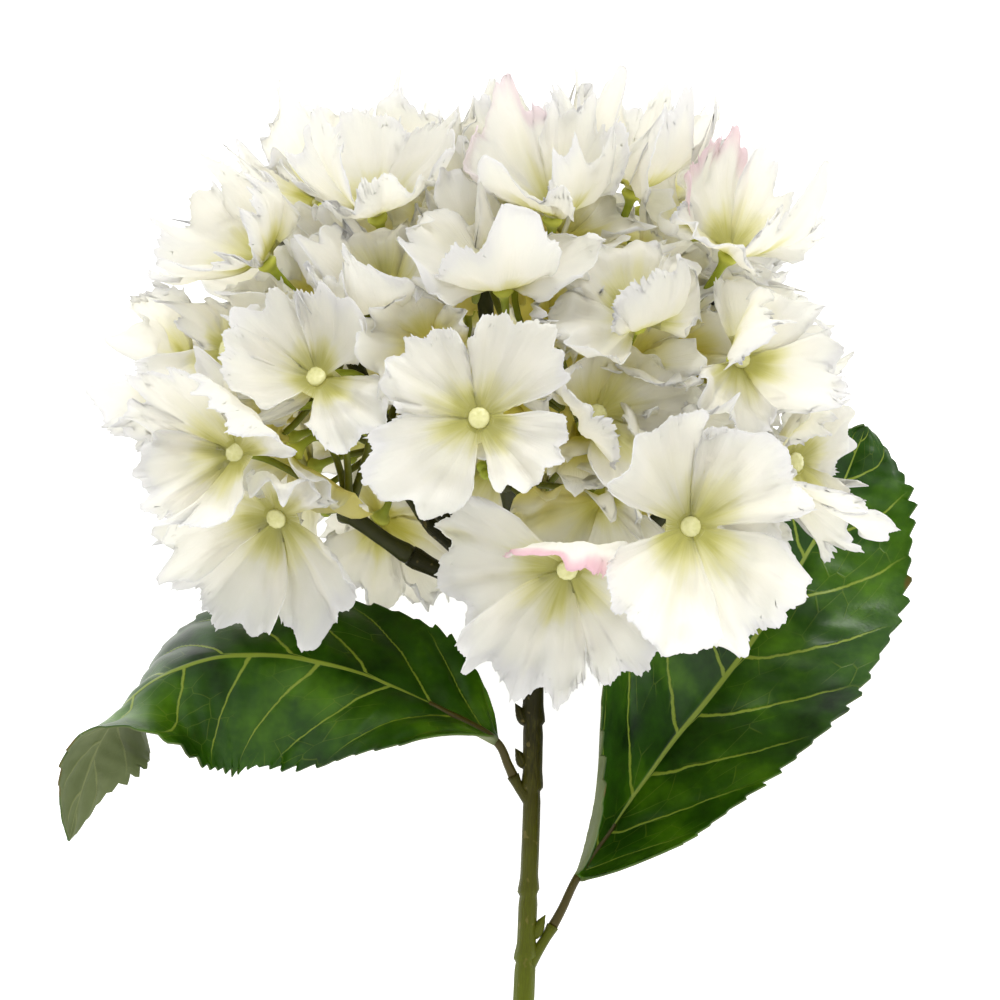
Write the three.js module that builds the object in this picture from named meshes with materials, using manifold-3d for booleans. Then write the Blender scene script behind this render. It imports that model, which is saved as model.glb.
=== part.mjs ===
// A cut hydrangea: one rounded head of four-petalled florets on a jointed stem with two leaves.
// It lies on a surface at z = 0, on the florets at the back of its head and on the cut end of its stem.
// Millimetres. Each shape is made in the flower's own frame, where z runs up the stem from the foot
// of the head, x to the right and y away from whoever faces the flower. The last group lays it down.
import * as THREE from "three";
import { mergeVertices } from "three/addons/utils/BufferGeometryUtils.js";
import Module from "manifold-3d";

const wasm = await Module();
wasm.setup();

// Driving dimensions
const SLOPE = THREE.MathUtils.degToRad(15); // of the stem above the surface it lies on
const STEM_LENGTH = 215; // from the cut end to the foot of the head
const STEM_RADIUS = 2.7;
const FORK = new THREE.Vector3(0, 0, 20); // where the stem divides inside the head
const HEAD_CENTRE = new THREE.Vector3(-10, 0, 68);
const HEAD_HALF = new THREE.Vector3(62, 65, 51); // half width, depth and height of the dome of floret centres
const PLACES_ON_DOME = 84; // evenly spread places, of which the open underside and taken ones are skipped
const OPEN_BELOW = -0.66; // share of the dome's half height under which no floret grows
const FLORET_ROOM = 19.5; // least distance between the centres of two florets
const LEAF_ROOM = 14; // least distance from the centre of a floret to a leaf
const BARE_SPOT = new THREE.Vector3(-28, -46, 40); // where the branches show between the florets
const BARE_ROOM = 22;
const PETALS = 4;
const PETAL_REACH = 25; // length of a petal from the floret's centre
const PETAL_HALF_ANGLE = THREE.MathUtils.degToRad(44);
const BLADE = 0.8; // thickness of petals
const LEAF_BLADE = 0.9;
const MIDRIB = 2.2; // thickness of a leaf along its middle, at its foot
const CLEAR = 0.35; // half of the least gap between the petals of two florets, past their thickness
const SOFT = 5; // how far ahead of its neighbours a petal starts to bend away
const FARTHEST_SLIDE = 9; // the most that a petal slides along its neighbours as it bends
const LEAN = 5; // how much further the wall between two florets leans than one stands over the other
const SHINGLE = 0.35; // how far the upper one of two florets lies over the lower one
const STEEPEST = 1.5; // slope of the flattest wall between two florets
const CENTRE_ROOM = 4; // least distance from the centre of a floret to a wall
const STALK_ROOM = 3.4; // distance that petals keep from the stalks of other florets
const PETAL_ROOT = 3.4; // distance from the centre at which the petals of a floret part
const PEDICEL_RADIUS = 0.95;
const BRANCH_RADIUS = 2.0;
const BRANCH_JOINT = 0.62; // share of a branch's way out at which it is joined to the stem
const JOINT_GAP = 0.35; // between two pieces that are joined
const SEED = 20;

// Where the flower's own origin lies, so that the part's origin is under the middle of its outline
const PLACE = { x: 7.34, y: 32.18 };
// Height of the flower's own origin over the surface, with the low edge of the cut end on it
const LIFT = STEM_LENGTH * Math.sin(SLOPE) + STEM_RADIUS * Math.cos(SLOPE);
const DOWN = new THREE.Vector3(0, Math.cos(SLOPE), -Math.sin(SLOPE)); // straight down, in the flower's frame

// Where each branch of the head divides into the stalks of its florets
const SPRAYS = {
  spray_front_left: [-42, -12, 41],
  spray_front: [-6, -30, 48],
  spray_front_right: [32, -16, 44],
  spray_left: [-44, 6, 82],
  spray_top: [-12, -8, 100],
  spray_right: [30, 2, 84],
  spray_back_left: [-36, 34, 56],
  spray_back_right: [16, 36, 60],
};

// The florets that face forwards. Each is set by hand: its centre, the way it faces, the directions of
// its petals in degrees, the length of its petals, how far they rise from flat, and how far the floret
// stands proud of its neighbours.
const FRONT_FLORETS = [
  { at: [-12, -68, 61], face: [-0.05, -1, 0.08], turns: [58, 140, 222, 323], reach: 23.5, rise: 7, proud: 8 },
  { at: [-47, -50, 70], face: [-0.3, -0.85, 0.45], turns: [60, 132, 195, 318], reach: 22, rise: 16, proud: 5 },
  { at: [-65, -42, 54], face: [-0.45, -0.85, 0.05], turns: [40, 140, 200, 262], reach: 25, rise: 22, proud: 6 },
  { at: [-57, -28, 40], face: [-0.35, -0.85, -0.4], turns: [60, 170, 232, 300], reach: 29, rise: 6, proud: 0 },
  { at: [33, -58, 38], face: [0.2, -0.97, 0], turns: [48, 118, 238, 310], reach: 29, rise: 18, proud: 8 },
  { at: [7, -50, 29], face: [-0.05, -0.9, -0.45], turns: [85, 172, 240, 316], reach: 30, rise: 4, proud: 0 },
  { at: [-7, -50, 90], face: [-0.1, -0.7, 0.7], turns: [5, 100, 185, 275], reach: 26, rise: 20, proud: 4 },
  { at: [13, -52, 62], face: [0.35, -0.9, 0.2], turns: [30, 120, 215, 300], reach: 25, rise: 26, proud: -3 },
  { at: [43, -36, 98], face: [0.45, -0.5, 0.75], turns: [20, 105, 200, 285], reach: 25, rise: 22, proud: 3 },
  { at: [44, -50, 74], face: [0.4, -0.85, 0.35], turns: [65, 150, 240, 330], reach: 25, rise: 18, proud: 0 },
  { at: [57, -33, 52], face: [0.65, -0.75, 0], turns: [35, 125, 215, 305], reach: 25, rise: 14, proud: 0 },
  { at: [4, -40, 106], face: [0.05, -0.6, 0.8], turns: [50, 135, 228, 312], reach: 26, rise: 24, proud: 2 },
  { at: [22, -52, 82], face: [0.15, -0.85, 0.5], turns: [20, 110, 205, 290], reach: 25, rise: 22, proud: -2 },
  { at: [-32, -46, 88], face: [-0.2, -0.75, 0.6], turns: [15, 110, 200, 290], reach: 25, rise: 18, proud: 0 },
  { at: [-35, -32, 107], face: [-0.25, -0.6, 0.75], turns: [40, 130, 220, 310], reach: 27, rise: 24, proud: 3 },
  { at: [-60, -28, 97], face: [-0.6, -0.45, 0.65], turns: [10, 100, 190, 280], reach: 26, rise: 20, proud: 0 },
  { at: [-67, -36, 77], face: [-0.7, -0.65, 0.3], turns: [55, 140, 235, 325], reach: 24, rise: 16, proud: 0 },
  { at: [22, -26, 113], face: [0.2, -0.5, 0.85], turns: [25, 115, 205, 295], reach: 26, rise: 24, proud: 0 },
];

// The midrib of each leaf as points, the way its second half spreads at shares of its length, how far
// both halves fold towards its face, in degrees, at the same shares, and the widths of the two halves.
const LEAVES = {
  leaf_left: {
    petiole: [[-0.3, 0, -26], [-3.4, -0.5, -22], [-5.6, -0.8, -17.5]],
    midrib: [
      [-8.3, -1, -12], [-24, -1, -3], [-40, -1, 4], [-58, -2, 8], [-74, -4, 7.5],
      [-88, -6, 2], [-98, -8, -8], [-103, -9, -20], [-106, -9, -34],
    ],
    shares: [0, 0.16, 0.35, 0.62, 0.78, 1],
    spread: [
      [0, -0.8, -0.6], [0, -0.72, -0.7], [0, -0.52, -0.85],
      [-0.1, -0.8, -0.6], [-0.5, -0.84, -0.2], [-0.75, -0.66, 0],
    ],
    fold: [18, 2, -18, -20, -14, -4],
    halfWidths: [27, 27],
    tapers: [0.8, 0.85],
    phase: 0.4,
  },
  leaf_right: {
    petiole: [[-1, 0, -63], [2.4, 0.4, -58], [6.5, 1.6, -51]],
    midrib: [
      [10, 4, -44], [19, 12, -32], [32, 22, -15], [46, 33, 1], [59, 43, 18],
      [70, 50, 36], [78, 54, 52], [82, 55, 62],
    ],
    shares: [0, 0.2, 0.5, 0.8, 1],
    spread: [
      [-0.75, -0.35, 0.55], [-0.8, -0.15, 0.58], [-0.82, 0.1, 0.56],
      [-0.85, 0.1, 0.5], [-0.85, 0, 0.5],
    ],
    fold: [46, 32, 14, 10, 6],
    halfWidths: [34, 33],
    tapers: [0.84, 0.62],
    phase: 2.1,
  },
};
const LEAF_STEPS = 26; // stretches along a leaf, two for each tooth of its edge
const PETIOLE_JOINT = 0.38; // share of a petiole's way at which it is joined to the stem
const PETIOLE_GAP = 0.015; // share of that way left free at the joint

// Draws the same numbers each time, between a low and a high value.
function randomFrom(seed) {
  let state = seed;
  return (low, high) => {
    state = (state * 1664525 + 1013904223) % 4294967296;
    return low + ((high - low) * state) / 4294967296;
  };
}

const vector = ([x, y, z]) => new THREE.Vector3(x, y, z);

// How high a point of the flower's frame is over the surface.
const heightOf = (p) => LIFT + p.z * Math.sin(SLOPE) - p.y * Math.cos(SLOPE);

// ---- Solids -------------------------------------------------------------------------------------

function solidOf(geometry) {
  const bare = geometry.clone();
  for (const name of Object.keys(bare.attributes)) {
    if (name !== "position") bare.deleteAttribute(name);
  }
  const merged = mergeVertices(bare.index ? bare.toNonIndexed() : bare, 1e-3);
  return new wasm.Manifold(
    new wasm.Mesh({
      numProp: 3,
      vertProperties: merged.attributes.position.array,
      triVerts: new Uint32Array(merged.index.array),
    }),
  );
}

function geometryOf(solid) {
  const mesh = solid.getMesh();
  const geometry = new THREE.BufferGeometry();
  geometry.setAttribute("position", new THREE.BufferAttribute(mesh.vertProperties, 3));
  geometry.setIndex(new THREE.BufferAttribute(mesh.triVerts, 1));
  return geometry;
}

// Joins solids, and keeps the largest body in case a scrap came loose.
function fuse(solids) {
  const joined = solids.reduce((sum, next) => sum.add(next));
  const bodies = joined.decompose();
  return bodies.reduce((best, body) => (body.volume() > best.volume() ? body : best));
}

// The faces between two rows of points, given by their numbers. The rows may differ in length.
function strip(near, far) {
  const faces = [];
  let i = 0;
  let j = near.length ? 0 : far.length - 1;
  while (i < near.length - 1 || j < far.length - 1) {
    const nearLeft = near.length - 1 - i;
    const farLeft = far.length - 1 - j;
    if (farLeft === 0 || nearLeft * (far.length - 1) > farLeft * (near.length - 1)) {
      faces.push([near[i], far[j], near[i + 1]]);
      i += 1;
    } else {
      faces.push([near[i], far[j], far[j + 1]]);
      j += 1;
    }
  }
  return faces;
}

// A thin closed blade round a sheet of points and faces, split alike on both sides. The thickness is
// given for each point.
function thicken(points, faces, thicknesses) {
  const sheet = new THREE.BufferGeometry().setFromPoints(points);
  sheet.setIndex(faces.flat());
  sheet.computeVertexNormals();
  const normals = sheet.attributes.normal;
  const offset = (side) =>
    points.map((p, i) => {
      const normal = new THREE.Vector3().fromBufferAttribute(normals, i);
      return p.clone().addScaledVector(normal, (side * thicknesses[i]) / 2);
    });
  const count = points.length;
  const skin = [...offset(1), ...offset(-1)].map(keepOffFloor);
  const edges = new Set(faces.flatMap(([a, b, c]) => [`${a},${b}`, `${b},${c}`, `${c},${a}`]));
  const all = [];
  for (const [a, b, c] of faces) {
    all.push([a, b, c], [a + count, c + count, b + count]);
    for (const [p, q] of [[a, b], [b, c], [c, a]]) {
      if (!edges.has(`${q},${p}`)) all.push([q, p, p + count], [q, p + count, q + count]);
    }
  }
  const closed = new THREE.BufferGeometry().setFromPoints(skin);
  closed.setIndex(all.flat());
  return closed;
}

// Lifts a point that would lie below the surface onto it.
function keepOffFloor(p) {
  const under = -heightOf(p);
  return under > 0 ? p.clone().addScaledVector(DOWN, -under) : p;
}

// A round stalk through some places, with its radius at each. Its last place may have a radius of 0.
function stalk(places, radii, sides) {
  const points = [places[0].clone()];
  const faces = [];
  const away = new THREE.Vector3(0.31, 0.87, 0.39);
  places.forEach((place, i) => {
    const before = places[Math.max(0, i - 1)];
    const after = places[Math.min(places.length - 1, i + 1)];
    const ahead = after.clone().sub(before).normalize();
    away.addScaledVector(ahead, -away.dot(ahead)).normalize();
    const beside = new THREE.Vector3().crossVectors(ahead, away);
    for (let k = 0; k < sides; k += 1) {
      const turn = (2 * Math.PI * k) / sides;
      const out = away.clone().multiplyScalar(Math.cos(turn)).addScaledVector(beside, Math.sin(turn));
      points.push(place.clone().addScaledVector(out, Math.max(radii[i], 0.02)));
      const here = 1 + i * sides + k;
      const next = 1 + i * sides + ((k + 1) % sides);
      if (i === 0) faces.push([0, next, here]);
      else faces.push([here - sides, next - sides, next], [here - sides, next, here]);
    }
  });
  const last = points.length - sides;
  points.push(places.at(-1).clone());
  for (let k = 0; k < sides; k += 1) faces.push([last + k, last + ((k + 1) % sides), points.length - 1]);
  const closed = new THREE.BufferGeometry().setFromPoints(points);
  closed.setIndex(faces.flat());
  return solidOf(closed);
}

// Places along the stretch of a curve between two shares of its way.
const stretch = (curve, from, to, count) =>
  Array.from({ length: count }, (_, i) => curve.getPoint(from + ((to - from) * i) / (count - 1)));

// ---- Florets ------------------------------------------------------------------------------------

// Places on the dome by the golden angle, each a little off its place.
function domePlaces(random) {
  const golden = Math.PI * (3 - Math.sqrt(5));
  const places = [];
  for (let i = 0; i < PLACES_ON_DOME; i += 1) {
    const up = 1 - (2 * i + 1) / PLACES_ON_DOME;
    const out = Math.sqrt(1 - up * up);
    const turn = golden * i;
    const direction = new THREE.Vector3(out * Math.cos(turn), out * Math.sin(turn), up);
    const depth = random(-0.05, 0.05);
    const tilt = new THREE.Vector3(random(-0.22, 0.22), random(-0.22, 0.22), random(-0.22, 0.22));
    const roll = random(0, 90);
    const turns = Array.from({ length: PETALS }, (_, k) => roll + (360 * k) / PETALS + random(-7, 7));
    const reach = PETAL_REACH * random(0.94, 1.1);
    const rise = random(4, 30);
    const proud = random(-7, 7);
    const at = direction.clone().multiply(HEAD_HALF).multiplyScalar(1 + depth).add(HEAD_CENTRE);
    if (up < OPEN_BELOW || at.distanceTo(BARE_SPOT) < BARE_ROOM) continue;
    const face = direction.clone().divide(HEAD_HALF).normalize();
    face.addScaledVector(at.clone().sub(FORK).normalize(), 0.35).add(tilt).normalize();
    places.push({ at: at.addScaledVector(face, proud), face, turns, reach, rise, proud: 0 });
  }
  return places;
}

function allFlorets() {
  const random = randomFrom(SEED);
  const florets = FRONT_FLORETS.map((f) => ({
    ...f,
    at: vector(f.at),
    face: vector(f.face).normalize(),
    atFront: true,
  }));
  const leafPoints = Object.values(LEAVES).flatMap(pointsOfLeaf);
  for (const place of domePlaces(random)) {
    const free = florets.every((f) => f.at.distanceTo(place.at) > FLORET_ROOM);
    if (free && leafPoints.every((p) => p.distanceTo(place.at) > LEAF_ROOM)) florets.push(place);
  }
  for (const f of florets) {
    f.heart = f.at.clone().addScaledVector(f.face, 8 + f.proud);
    f.axes = axesOf(f.face);
    f.petals = f.turns.map((turn) => ({
      turn: THREE.MathUtils.degToRad(turn),
      reach: f.reach * random(0.92, 1.08),
      rise: THREE.MathUtils.degToRad(f.rise + random(-1, 1) * (f.atFront ? 9 : 18)),
      curl: random(-0.5, 0.6),
      trough: random(-0.4, 0.7),
      twist: random(-0.45, 0.45),
      ruffle: random(1.2, 3.0),
      waves: random(1.2, 1.9),
      phase: random(0, 2 * Math.PI),
    }));
  }
  for (const f of florets) {
    f.walls = [...wallsBetween(f, florets), ...wallsBefore(f, leafPoints), FLOOR];
    for (const petal of f.petals) petal.rise = settledRise(f, petal);
    f.petals.forEach((petal, k) => {
      petal.sides = [sideWall(f, petal, f.petals[(k + 1) % PETALS]), sideWall(f, petal, f.petals.at(k - 1))];
    });
  }
  return florets;
}

// Two directions across the way a floret faces: u to the right and v up, as seen from its front.
function axesOf(face) {
  const v = new THREE.Vector3(0, 0, 1).addScaledVector(face, -face.z);
  if (v.length() < 0.2) v.set(0, 1, 0).addScaledVector(face, -face.y);
  v.normalize();
  return { u: new THREE.Vector3().crossVectors(v, face).normalize(), v };
}

// The planes half way to its neighbours that the petals of a floret don't cross, and those just before
// their stalks. A plane leans, so that the floret that stands further out lies over the other.
function wallsBetween(floret, florets) {
  const near = florets.filter((o) => o !== floret && o.heart.distanceTo(floret.heart) < 3 * PETAL_REACH);
  near.sort((a, b) => a.heart.distanceTo(floret.heart) - b.heart.distanceTo(floret.heart));
  return near.flatMap((o) => {
    const across = o.heart.clone().sub(floret.heart);
    const outward = o.face.clone().add(floret.face).normalize();
    const higher = across.dot(outward);
    const beside = across.clone().addScaledVector(outward, -higher);
    const apart = beside.length();
    beside.divideScalar(apart);
    const middle = o.heart.clone().add(floret.heart).multiplyScalar(0.5);
    const leaning = (tilt) => beside.clone().addScaledVector(outward, tilt).normalize();
    const room = (wall) => Math.min(wall.dot(middle) - wall.dot(floret.at), wall.dot(o.at) - wall.dot(middle));
    let tilt = THREE.MathUtils.clamp((LEAN * higher + SHINGLE * across.z) / apart, -STEEPEST, STEEPEST);
    while (Math.abs(tilt) > 0.05 && room(leaning(tilt)) < CENTRE_ROOM) tilt *= 0.8;
    const wall = leaning(tilt);
    return [
      { across: wall, level: middle.dot(wall) - CLEAR - BLADE / 2 },
      { across: beside, level: o.at.dot(beside) - STALK_ROOM },
    ];
  });
}

// The plane half a blade above the surface that the flower lies on
const FLOOR = { across: DOWN, level: LIFT - BLADE / 2 };

// The planes that keep the petals of a floret in front of a leaf.
function wallsBefore(floret, leafPoints) {
  const near = leafPoints.filter((p) => p.distanceTo(floret.heart) < 2 * PETAL_REACH);
  return near.map((p) => {
    const across = p.clone().sub(floret.heart).normalize();
    return { across, level: p.dot(across) - 3 };
  });
}

// The plane between two petals of one floret, which neither crosses.
function sideWall(floret, petal, next) {
  const lead = Math.atan2(Math.sin(next.turn - petal.turn), Math.cos(next.turn - petal.turn));
  const turn = petal.turn + lead / 2 + (Math.sign(lead) * Math.PI) / 2;
  const { u, v } = floret.axes;
  const across = u.clone().multiplyScalar(Math.cos(turn)).addScaledVector(v, Math.sin(turn));
  return { across, level: floret.at.dot(across) - BLADE / 2 - 0.15 };
}

// The rise of a petal, near its own, at which it meets its neighbours least.
function settledRise(floret, petal) {
  const rises = Array.from({ length: 16 }, (_, i) => THREE.MathUtils.degToRad(-30 + 7 * i));
  const costs = rises.map((rise) => crowding(floret, petal, rise));
  return rises[costs.indexOf(Math.min(...costs))];
}

// How far a petal at some rise would go past the walls, and how far that is from its own rise.
function crowding(floret, petal, rise) {
  let total = (floret.atFront ? 0.15 : 0.0225) * THREE.MathUtils.radToDeg(rise - petal.rise) ** 2;
  for (const [share, a] of [[1, 0], [0.7, 0], [0.85, -0.7], [0.85, 0.7]]) {
    const angle = a * PETAL_HALF_ANGLE;
    const along = petal.reach * share * Math.cos(angle);
    const side = petal.reach * share * Math.sin(angle);
    const bend = rise + (petal.curl * along) / petal.reach / 2;
    const p = onPetal(floret, petal, along * Math.cos(bend), side, along * Math.sin(bend));
    for (const { across, level } of floret.walls) total += Math.max(0, p.dot(across) - level) ** 2;
  }
  return total;
}

// A point of a floret, given how far ahead along a petal, to its side and above the floret it is.
function onPetal(floret, petal, ahead, side, up) {
  const { u, v } = floret.axes;
  const c = Math.cos(petal.turn);
  const s = Math.sin(petal.turn);
  return floret.at
    .clone()
    .addScaledVector(u, c * ahead - s * side)
    .addScaledVector(v, s * ahead + c * side)
    .addScaledVector(floret.face, up);
}

// A point of a petal, at share r of the way out and share a of the way from its middle to its side.
function petalPoint(floret, petal, r, a) {
  const angle = a * PETAL_HALF_ANGLE;
  const edge = petal.reach * (1 - 0.2 * Math.abs(a) ** 3);
  const far = PETAL_ROOT + (edge - PETAL_ROOT) * r;
  const along = far * Math.cos(angle);
  const side = far * Math.sin(angle);
  const bend = petal.rise + (petal.curl * along) / petal.reach / 2;
  const share = far / petal.reach;
  const up =
    along * Math.sin(bend) +
    (petal.trough * side * side) / petal.reach +
    petal.twist * side * share +
    petal.ruffle * share * share * Math.sin(2 * Math.PI * petal.waves * a + petal.phase);
  return onPetal(floret, petal, along * Math.cos(bend), side, up);
}

// Bends a point back where it comes near a wall, and gives how far it slides along the wall: forward,
// or back under the neighbour where the wall leans over the floret.
function bendAt(wall, p, face, soft) {
  const past = p.dot(wall.across) - wall.level;
  const slide = new THREE.Vector3();
  if (past < -soft) return slide;
  const back = past > soft ? past : (past + soft) ** 2 / (4 * soft);
  p.addScaledVector(wall.across, -back);
  const facing = face.dot(wall.across);
  slide.copy(face).addScaledVector(wall.across, -facing);
  return slide.setLength(facing > 0.45 ? -0.85 * back : 0.85 * back);
}

// Presses a point of a petal against its neighbours and the surface below.
function press(p, floret, petal) {
  const slide = new THREE.Vector3();
  for (const wall of petal.sides) slide.add(bendAt(wall, p, floret.face, 1));
  for (const wall of floret.walls) slide.add(bendAt(wall, p, floret.face, SOFT));
  p.add(slide.clampLength(0, FARTHEST_SLIDE));
  for (let pass = 0; pass < 6; pass += 1) {
    for (const { across, level } of [...petal.sides, ...floret.walls]) {
      p.addScaledVector(across, -Math.max(0, p.dot(across) - level));
    }
  }
  return p.sub(floret.at).clampLength(0, 1.1 * petal.reach).add(floret.at);
}

// Shares of the way out along a petal, and the number of stretches across it there
const PETAL_ROWS = [
  { r: 0.55, columns: 2 },
  { r: 1, columns: 4 },
];
const FRONT_PETAL_ROWS = [
  { r: 0.55, columns: 2 },
  { r: 1, columns: 5 },
];

// The four petals in one blade. They part at the corners of a small square round the centre.
function petalsSolid(floret) {
  const points = floret.petals.map((petal, k) => cornerPoint(floret, petal, floret.petals[(k + 1) % PETALS]));
  const faces = [[0, 1, 2], [0, 2, 3]];
  floret.petals.forEach((petal, k) => {
    let near = [(k + PETALS - 1) % PETALS, k];
    for (const { r, columns } of floret.atFront ? FRONT_PETAL_ROWS : PETAL_ROWS) {
      const far = Array.from({ length: columns + 1 }, (_, i) => points.length + i);
      far.forEach((_, i) => points.push(press(petalPoint(floret, petal, r, (2 * i) / columns - 1), floret, petal)));
      faces.push(...strip(near, far));
      near = far;
    }
  });
  return solidOf(thicken(points, faces, Array(points.length).fill(BLADE)));
}

function cornerPoint(floret, petal, next) {
  const lead = (next.turn - petal.turn + 4 * Math.PI) % (2 * Math.PI);
  const turn = petal.turn + lead / 2;
  return floret.at
    .clone()
    .addScaledVector(floret.axes.u, PETAL_ROOT * Math.cos(turn))
    .addScaledVector(floret.axes.v, PETAL_ROOT * Math.sin(turn))
    .addScaledVector(floret.face, 0.7);
}

// The stalk of a floret, which widens into the green cup behind its petals and ends in the round bead
// in front of them.
function pedicelSolid(floret, knot) {
  const onFace = (height) => floret.at.clone().addScaledVector(floret.face, height);
  const reach = onFace(-4).distanceTo(knot);
  const curve = new THREE.QuadraticBezierCurve3(knot, onFace(-4 - 0.4 * reach), onFace(-4));
  const places = [...stretch(curve, 0.02, 1, 3), onFace(-0.9), onFace(1.9)];
  return stalk(places, [PEDICEL_RADIUS, PEDICEL_RADIUS, PEDICEL_RADIUS, 2.1, 2.1], 4);
}

// ---- Sprays -------------------------------------------------------------------------------------

function branchCurve(knot) {
  const way = knot.clone().sub(FORK);
  const elbow = FORK.clone().add(new THREE.Vector3(0.6 * way.x, 0.6 * way.y, 0.3 * way.z));
  return new THREE.QuadraticBezierCurve3(FORK, elbow, knot);
}

function spraySolid(knot, florets) {
  const curve = branchCurve(knot);
  const gap = JOINT_GAP / curve.getLength();
  const parts = [
    stalk(stretch(curve, BRANCH_JOINT + gap, 1, 3), [BRANCH_RADIUS, BRANCH_RADIUS, BRANCH_RADIUS], 6),
    solidOf(new THREE.IcosahedronGeometry(BRANCH_RADIUS * 1.4, 0).translate(...knot)),
  ];
  for (const floret of florets) parts.push(pedicelSolid(floret, knot), petalsSolid(floret));
  return fuse(parts);
}

// ---- Stem ---------------------------------------------------------------------------------------

const STEM_RINGS = [-10.4, -23, -41, -62.6, -118, -168]; // heights of its joints
const STEM_SIDES = 10;

// How far the stem leans to the left below the head.
const sway = (z) => (z < 0 ? (-0.0007 * z * z) / (1 - z / 100) : 0);

function stemSolid() {
  const rings = STEM_RINGS.flatMap((z) => [
    [STEM_RADIUS, z - 1.4],
    [STEM_RADIUS + 0.5, z - 0.7],
    [STEM_RADIUS + 0.5, z + 0.3],
    [STEM_RADIUS, z + 0.9],
  ]);
  rings.sort((a, b) => a[1] - b[1]);
  const profile = [[0, -STEM_LENGTH], [STEM_RADIUS, -STEM_LENGTH], ...rings];
  profile.push([STEM_RADIUS, 8], [3.6, 16], [3.9, 20], [2.6, 23.5], [0, 24.5]);
  const stem = new THREE.LatheGeometry(profile.map(([r, z]) => new THREE.Vector2(r, z)), STEM_SIDES);
  stem.rotateX(Math.PI / 2);
  const places = stem.attributes.position;
  for (let i = 0; i < places.count; i += 1) places.setX(i, places.getX(i) + sway(places.getZ(i)));
  const branches = Object.values(SPRAYS).map((knot) =>
    stalk(stretch(branchCurve(vector(knot)), 0, BRANCH_JOINT, 5), [2.4, 2.1, 2, 2, 2.4], 6),
  );
  const petioles = Object.values(LEAVES).map((leaf) =>
    stalk(stretch(petioleCurve(leaf), 0, PETIOLE_JOINT, 3), [2, 1.9, 1.9], 6),
  );
  return fuse([solidOf(stem), ...branches, ...petioles, ...BUDS.map(budSolid)]);
}

// The small buds in the angle of each leaf and under the head
const BUDS = [
  { height: -7, turn: 180, length: 5 },
  { height: -17, turn: 175, length: 4.5 },
  { height: -56, turn: -5, length: 5.5 },
  { height: -112, turn: 100, length: 4.5 },
];

function budSolid({ height, turn, length }) {
  const bud = new THREE.ConeGeometry(1.2, length, 5);
  bud.rotateX(Math.PI / 2).translate(0, 0, length / 2 - 1).rotateY(THREE.MathUtils.degToRad(24));
  bud.translate(STEM_RADIUS - 0.4, 0, 0).rotateZ(THREE.MathUtils.degToRad(turn));
  return solidOf(bud.translate(sway(height), 0, height));
}

// ---- Leaves -------------------------------------------------------------------------------------

function atShare(shares, values, s) {
  let i = 0;
  while (i + 2 < shares.length && s > shares[i + 1]) i += 1;
  const part = (s - shares[i]) / (shares[i + 1] - shares[i]);
  return { from: values[i], to: values[i + 1], part };
}

function leafFrame(leaf, s) {
  const curve = new THREE.CatmullRomCurve3(leaf.midrib.map(vector));
  const centre = curve.getPoint(s);
  const ahead = curve.getTangent(s);
  const way = atShare(leaf.shares, leaf.spread, s);
  const across = vector(way.from).lerp(vector(way.to), way.part);
  across.addScaledVector(ahead, -across.dot(ahead)).normalize();
  const bend = atShare(leaf.shares, leaf.fold, s);
  const fold = THREE.MathUtils.degToRad(THREE.MathUtils.lerp(bend.from, bend.to, bend.part));
  return { centre, ahead, across, up: new THREE.Vector3().crossVectors(ahead, across), fold };
}

// Width of one half of a leaf at share s of its length: broad below the middle, with a drawn-out tip.
function leafWidth(leaf, s, side) {
  const half = side > 0 ? 1 : 0;
  return leaf.halfWidths[half] * Math.sin(Math.PI * s ** leaf.tapers[half]) ** 0.8 * (1 - 0.12 * s);
}

function leafPoint(leaf, s, side, t) {
  const { centre, ahead, across, up, fold } = leafFrame(leaf, s);
  const tooth = Math.round(s * LEAF_STEPS) % 2 ? 1.5 : 0;
  const width = leafWidth(leaf, s, side) + tooth * Math.min(1, 8 * s * (1 - s));
  const reach = width * t;
  const arch = 0.5 * fold * t;
  const wave = 1.6 * t * t * Math.sin(2 * Math.PI * (2.6 * s + 0.2 * side) + leaf.phase);
  return centre
    .clone()
    .addScaledVector(across, side * reach * Math.cos(fold + arch))
    .addScaledVector(up, reach * Math.sin(fold + arch) + wave)
    .addScaledVector(ahead, tooth * t * 0.6);
}

// Points all over a leaf, a few millimetres apart.
function pointsOfLeaf(leaf) {
  const places = [];
  for (let s = 0.06; s < 1; s += 0.06) {
    for (const t of [-1, -0.66, -0.33, 0, 0.33, 0.66, 1]) places.push(leafPoint(leaf, s, Math.sign(t), Math.abs(t)));
  }
  return places;
}

function leafSolid(leaf) {
  const points = [];
  const faces = [];
  const thicknesses = [];
  let near = [];
  for (let i = 0; i <= LEAF_STEPS; i += 1) {
    const s = i / LEAF_STEPS;
    const shares = i === 0 || i === LEAF_STEPS ? [-0.15, 0.15] : [-1, -0.5, 0, 0.5, 1];
    const far = shares.map((_, k) => points.length + k);
    for (const t of shares) {
      points.push(leafPoint(leaf, s, Math.sign(t), Math.abs(t)));
      thicknesses.push(t === 0 ? THREE.MathUtils.lerp(MIDRIB, LEAF_BLADE, s) : LEAF_BLADE);
    }
    faces.push(...strip(near, far));
    near = far;
  }
  const petiole = stretch(petioleCurve(leaf), PETIOLE_JOINT + PETIOLE_GAP, 1, 5);
  return fuse([solidOf(thicken(points, faces, thicknesses)), stalk(petiole, [1.3, 1.3, 1.3, 1.2, 0.8], 6)]);
}

// From the middle of the stem to a little way along the midrib
function petioleCurve(leaf) {
  return new THREE.CatmullRomCurve3([...leaf.petiole, ...leaf.midrib.slice(0, 2)].map(vector));
}

// ---- The whole flower ---------------------------------------------------------------------------

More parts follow.
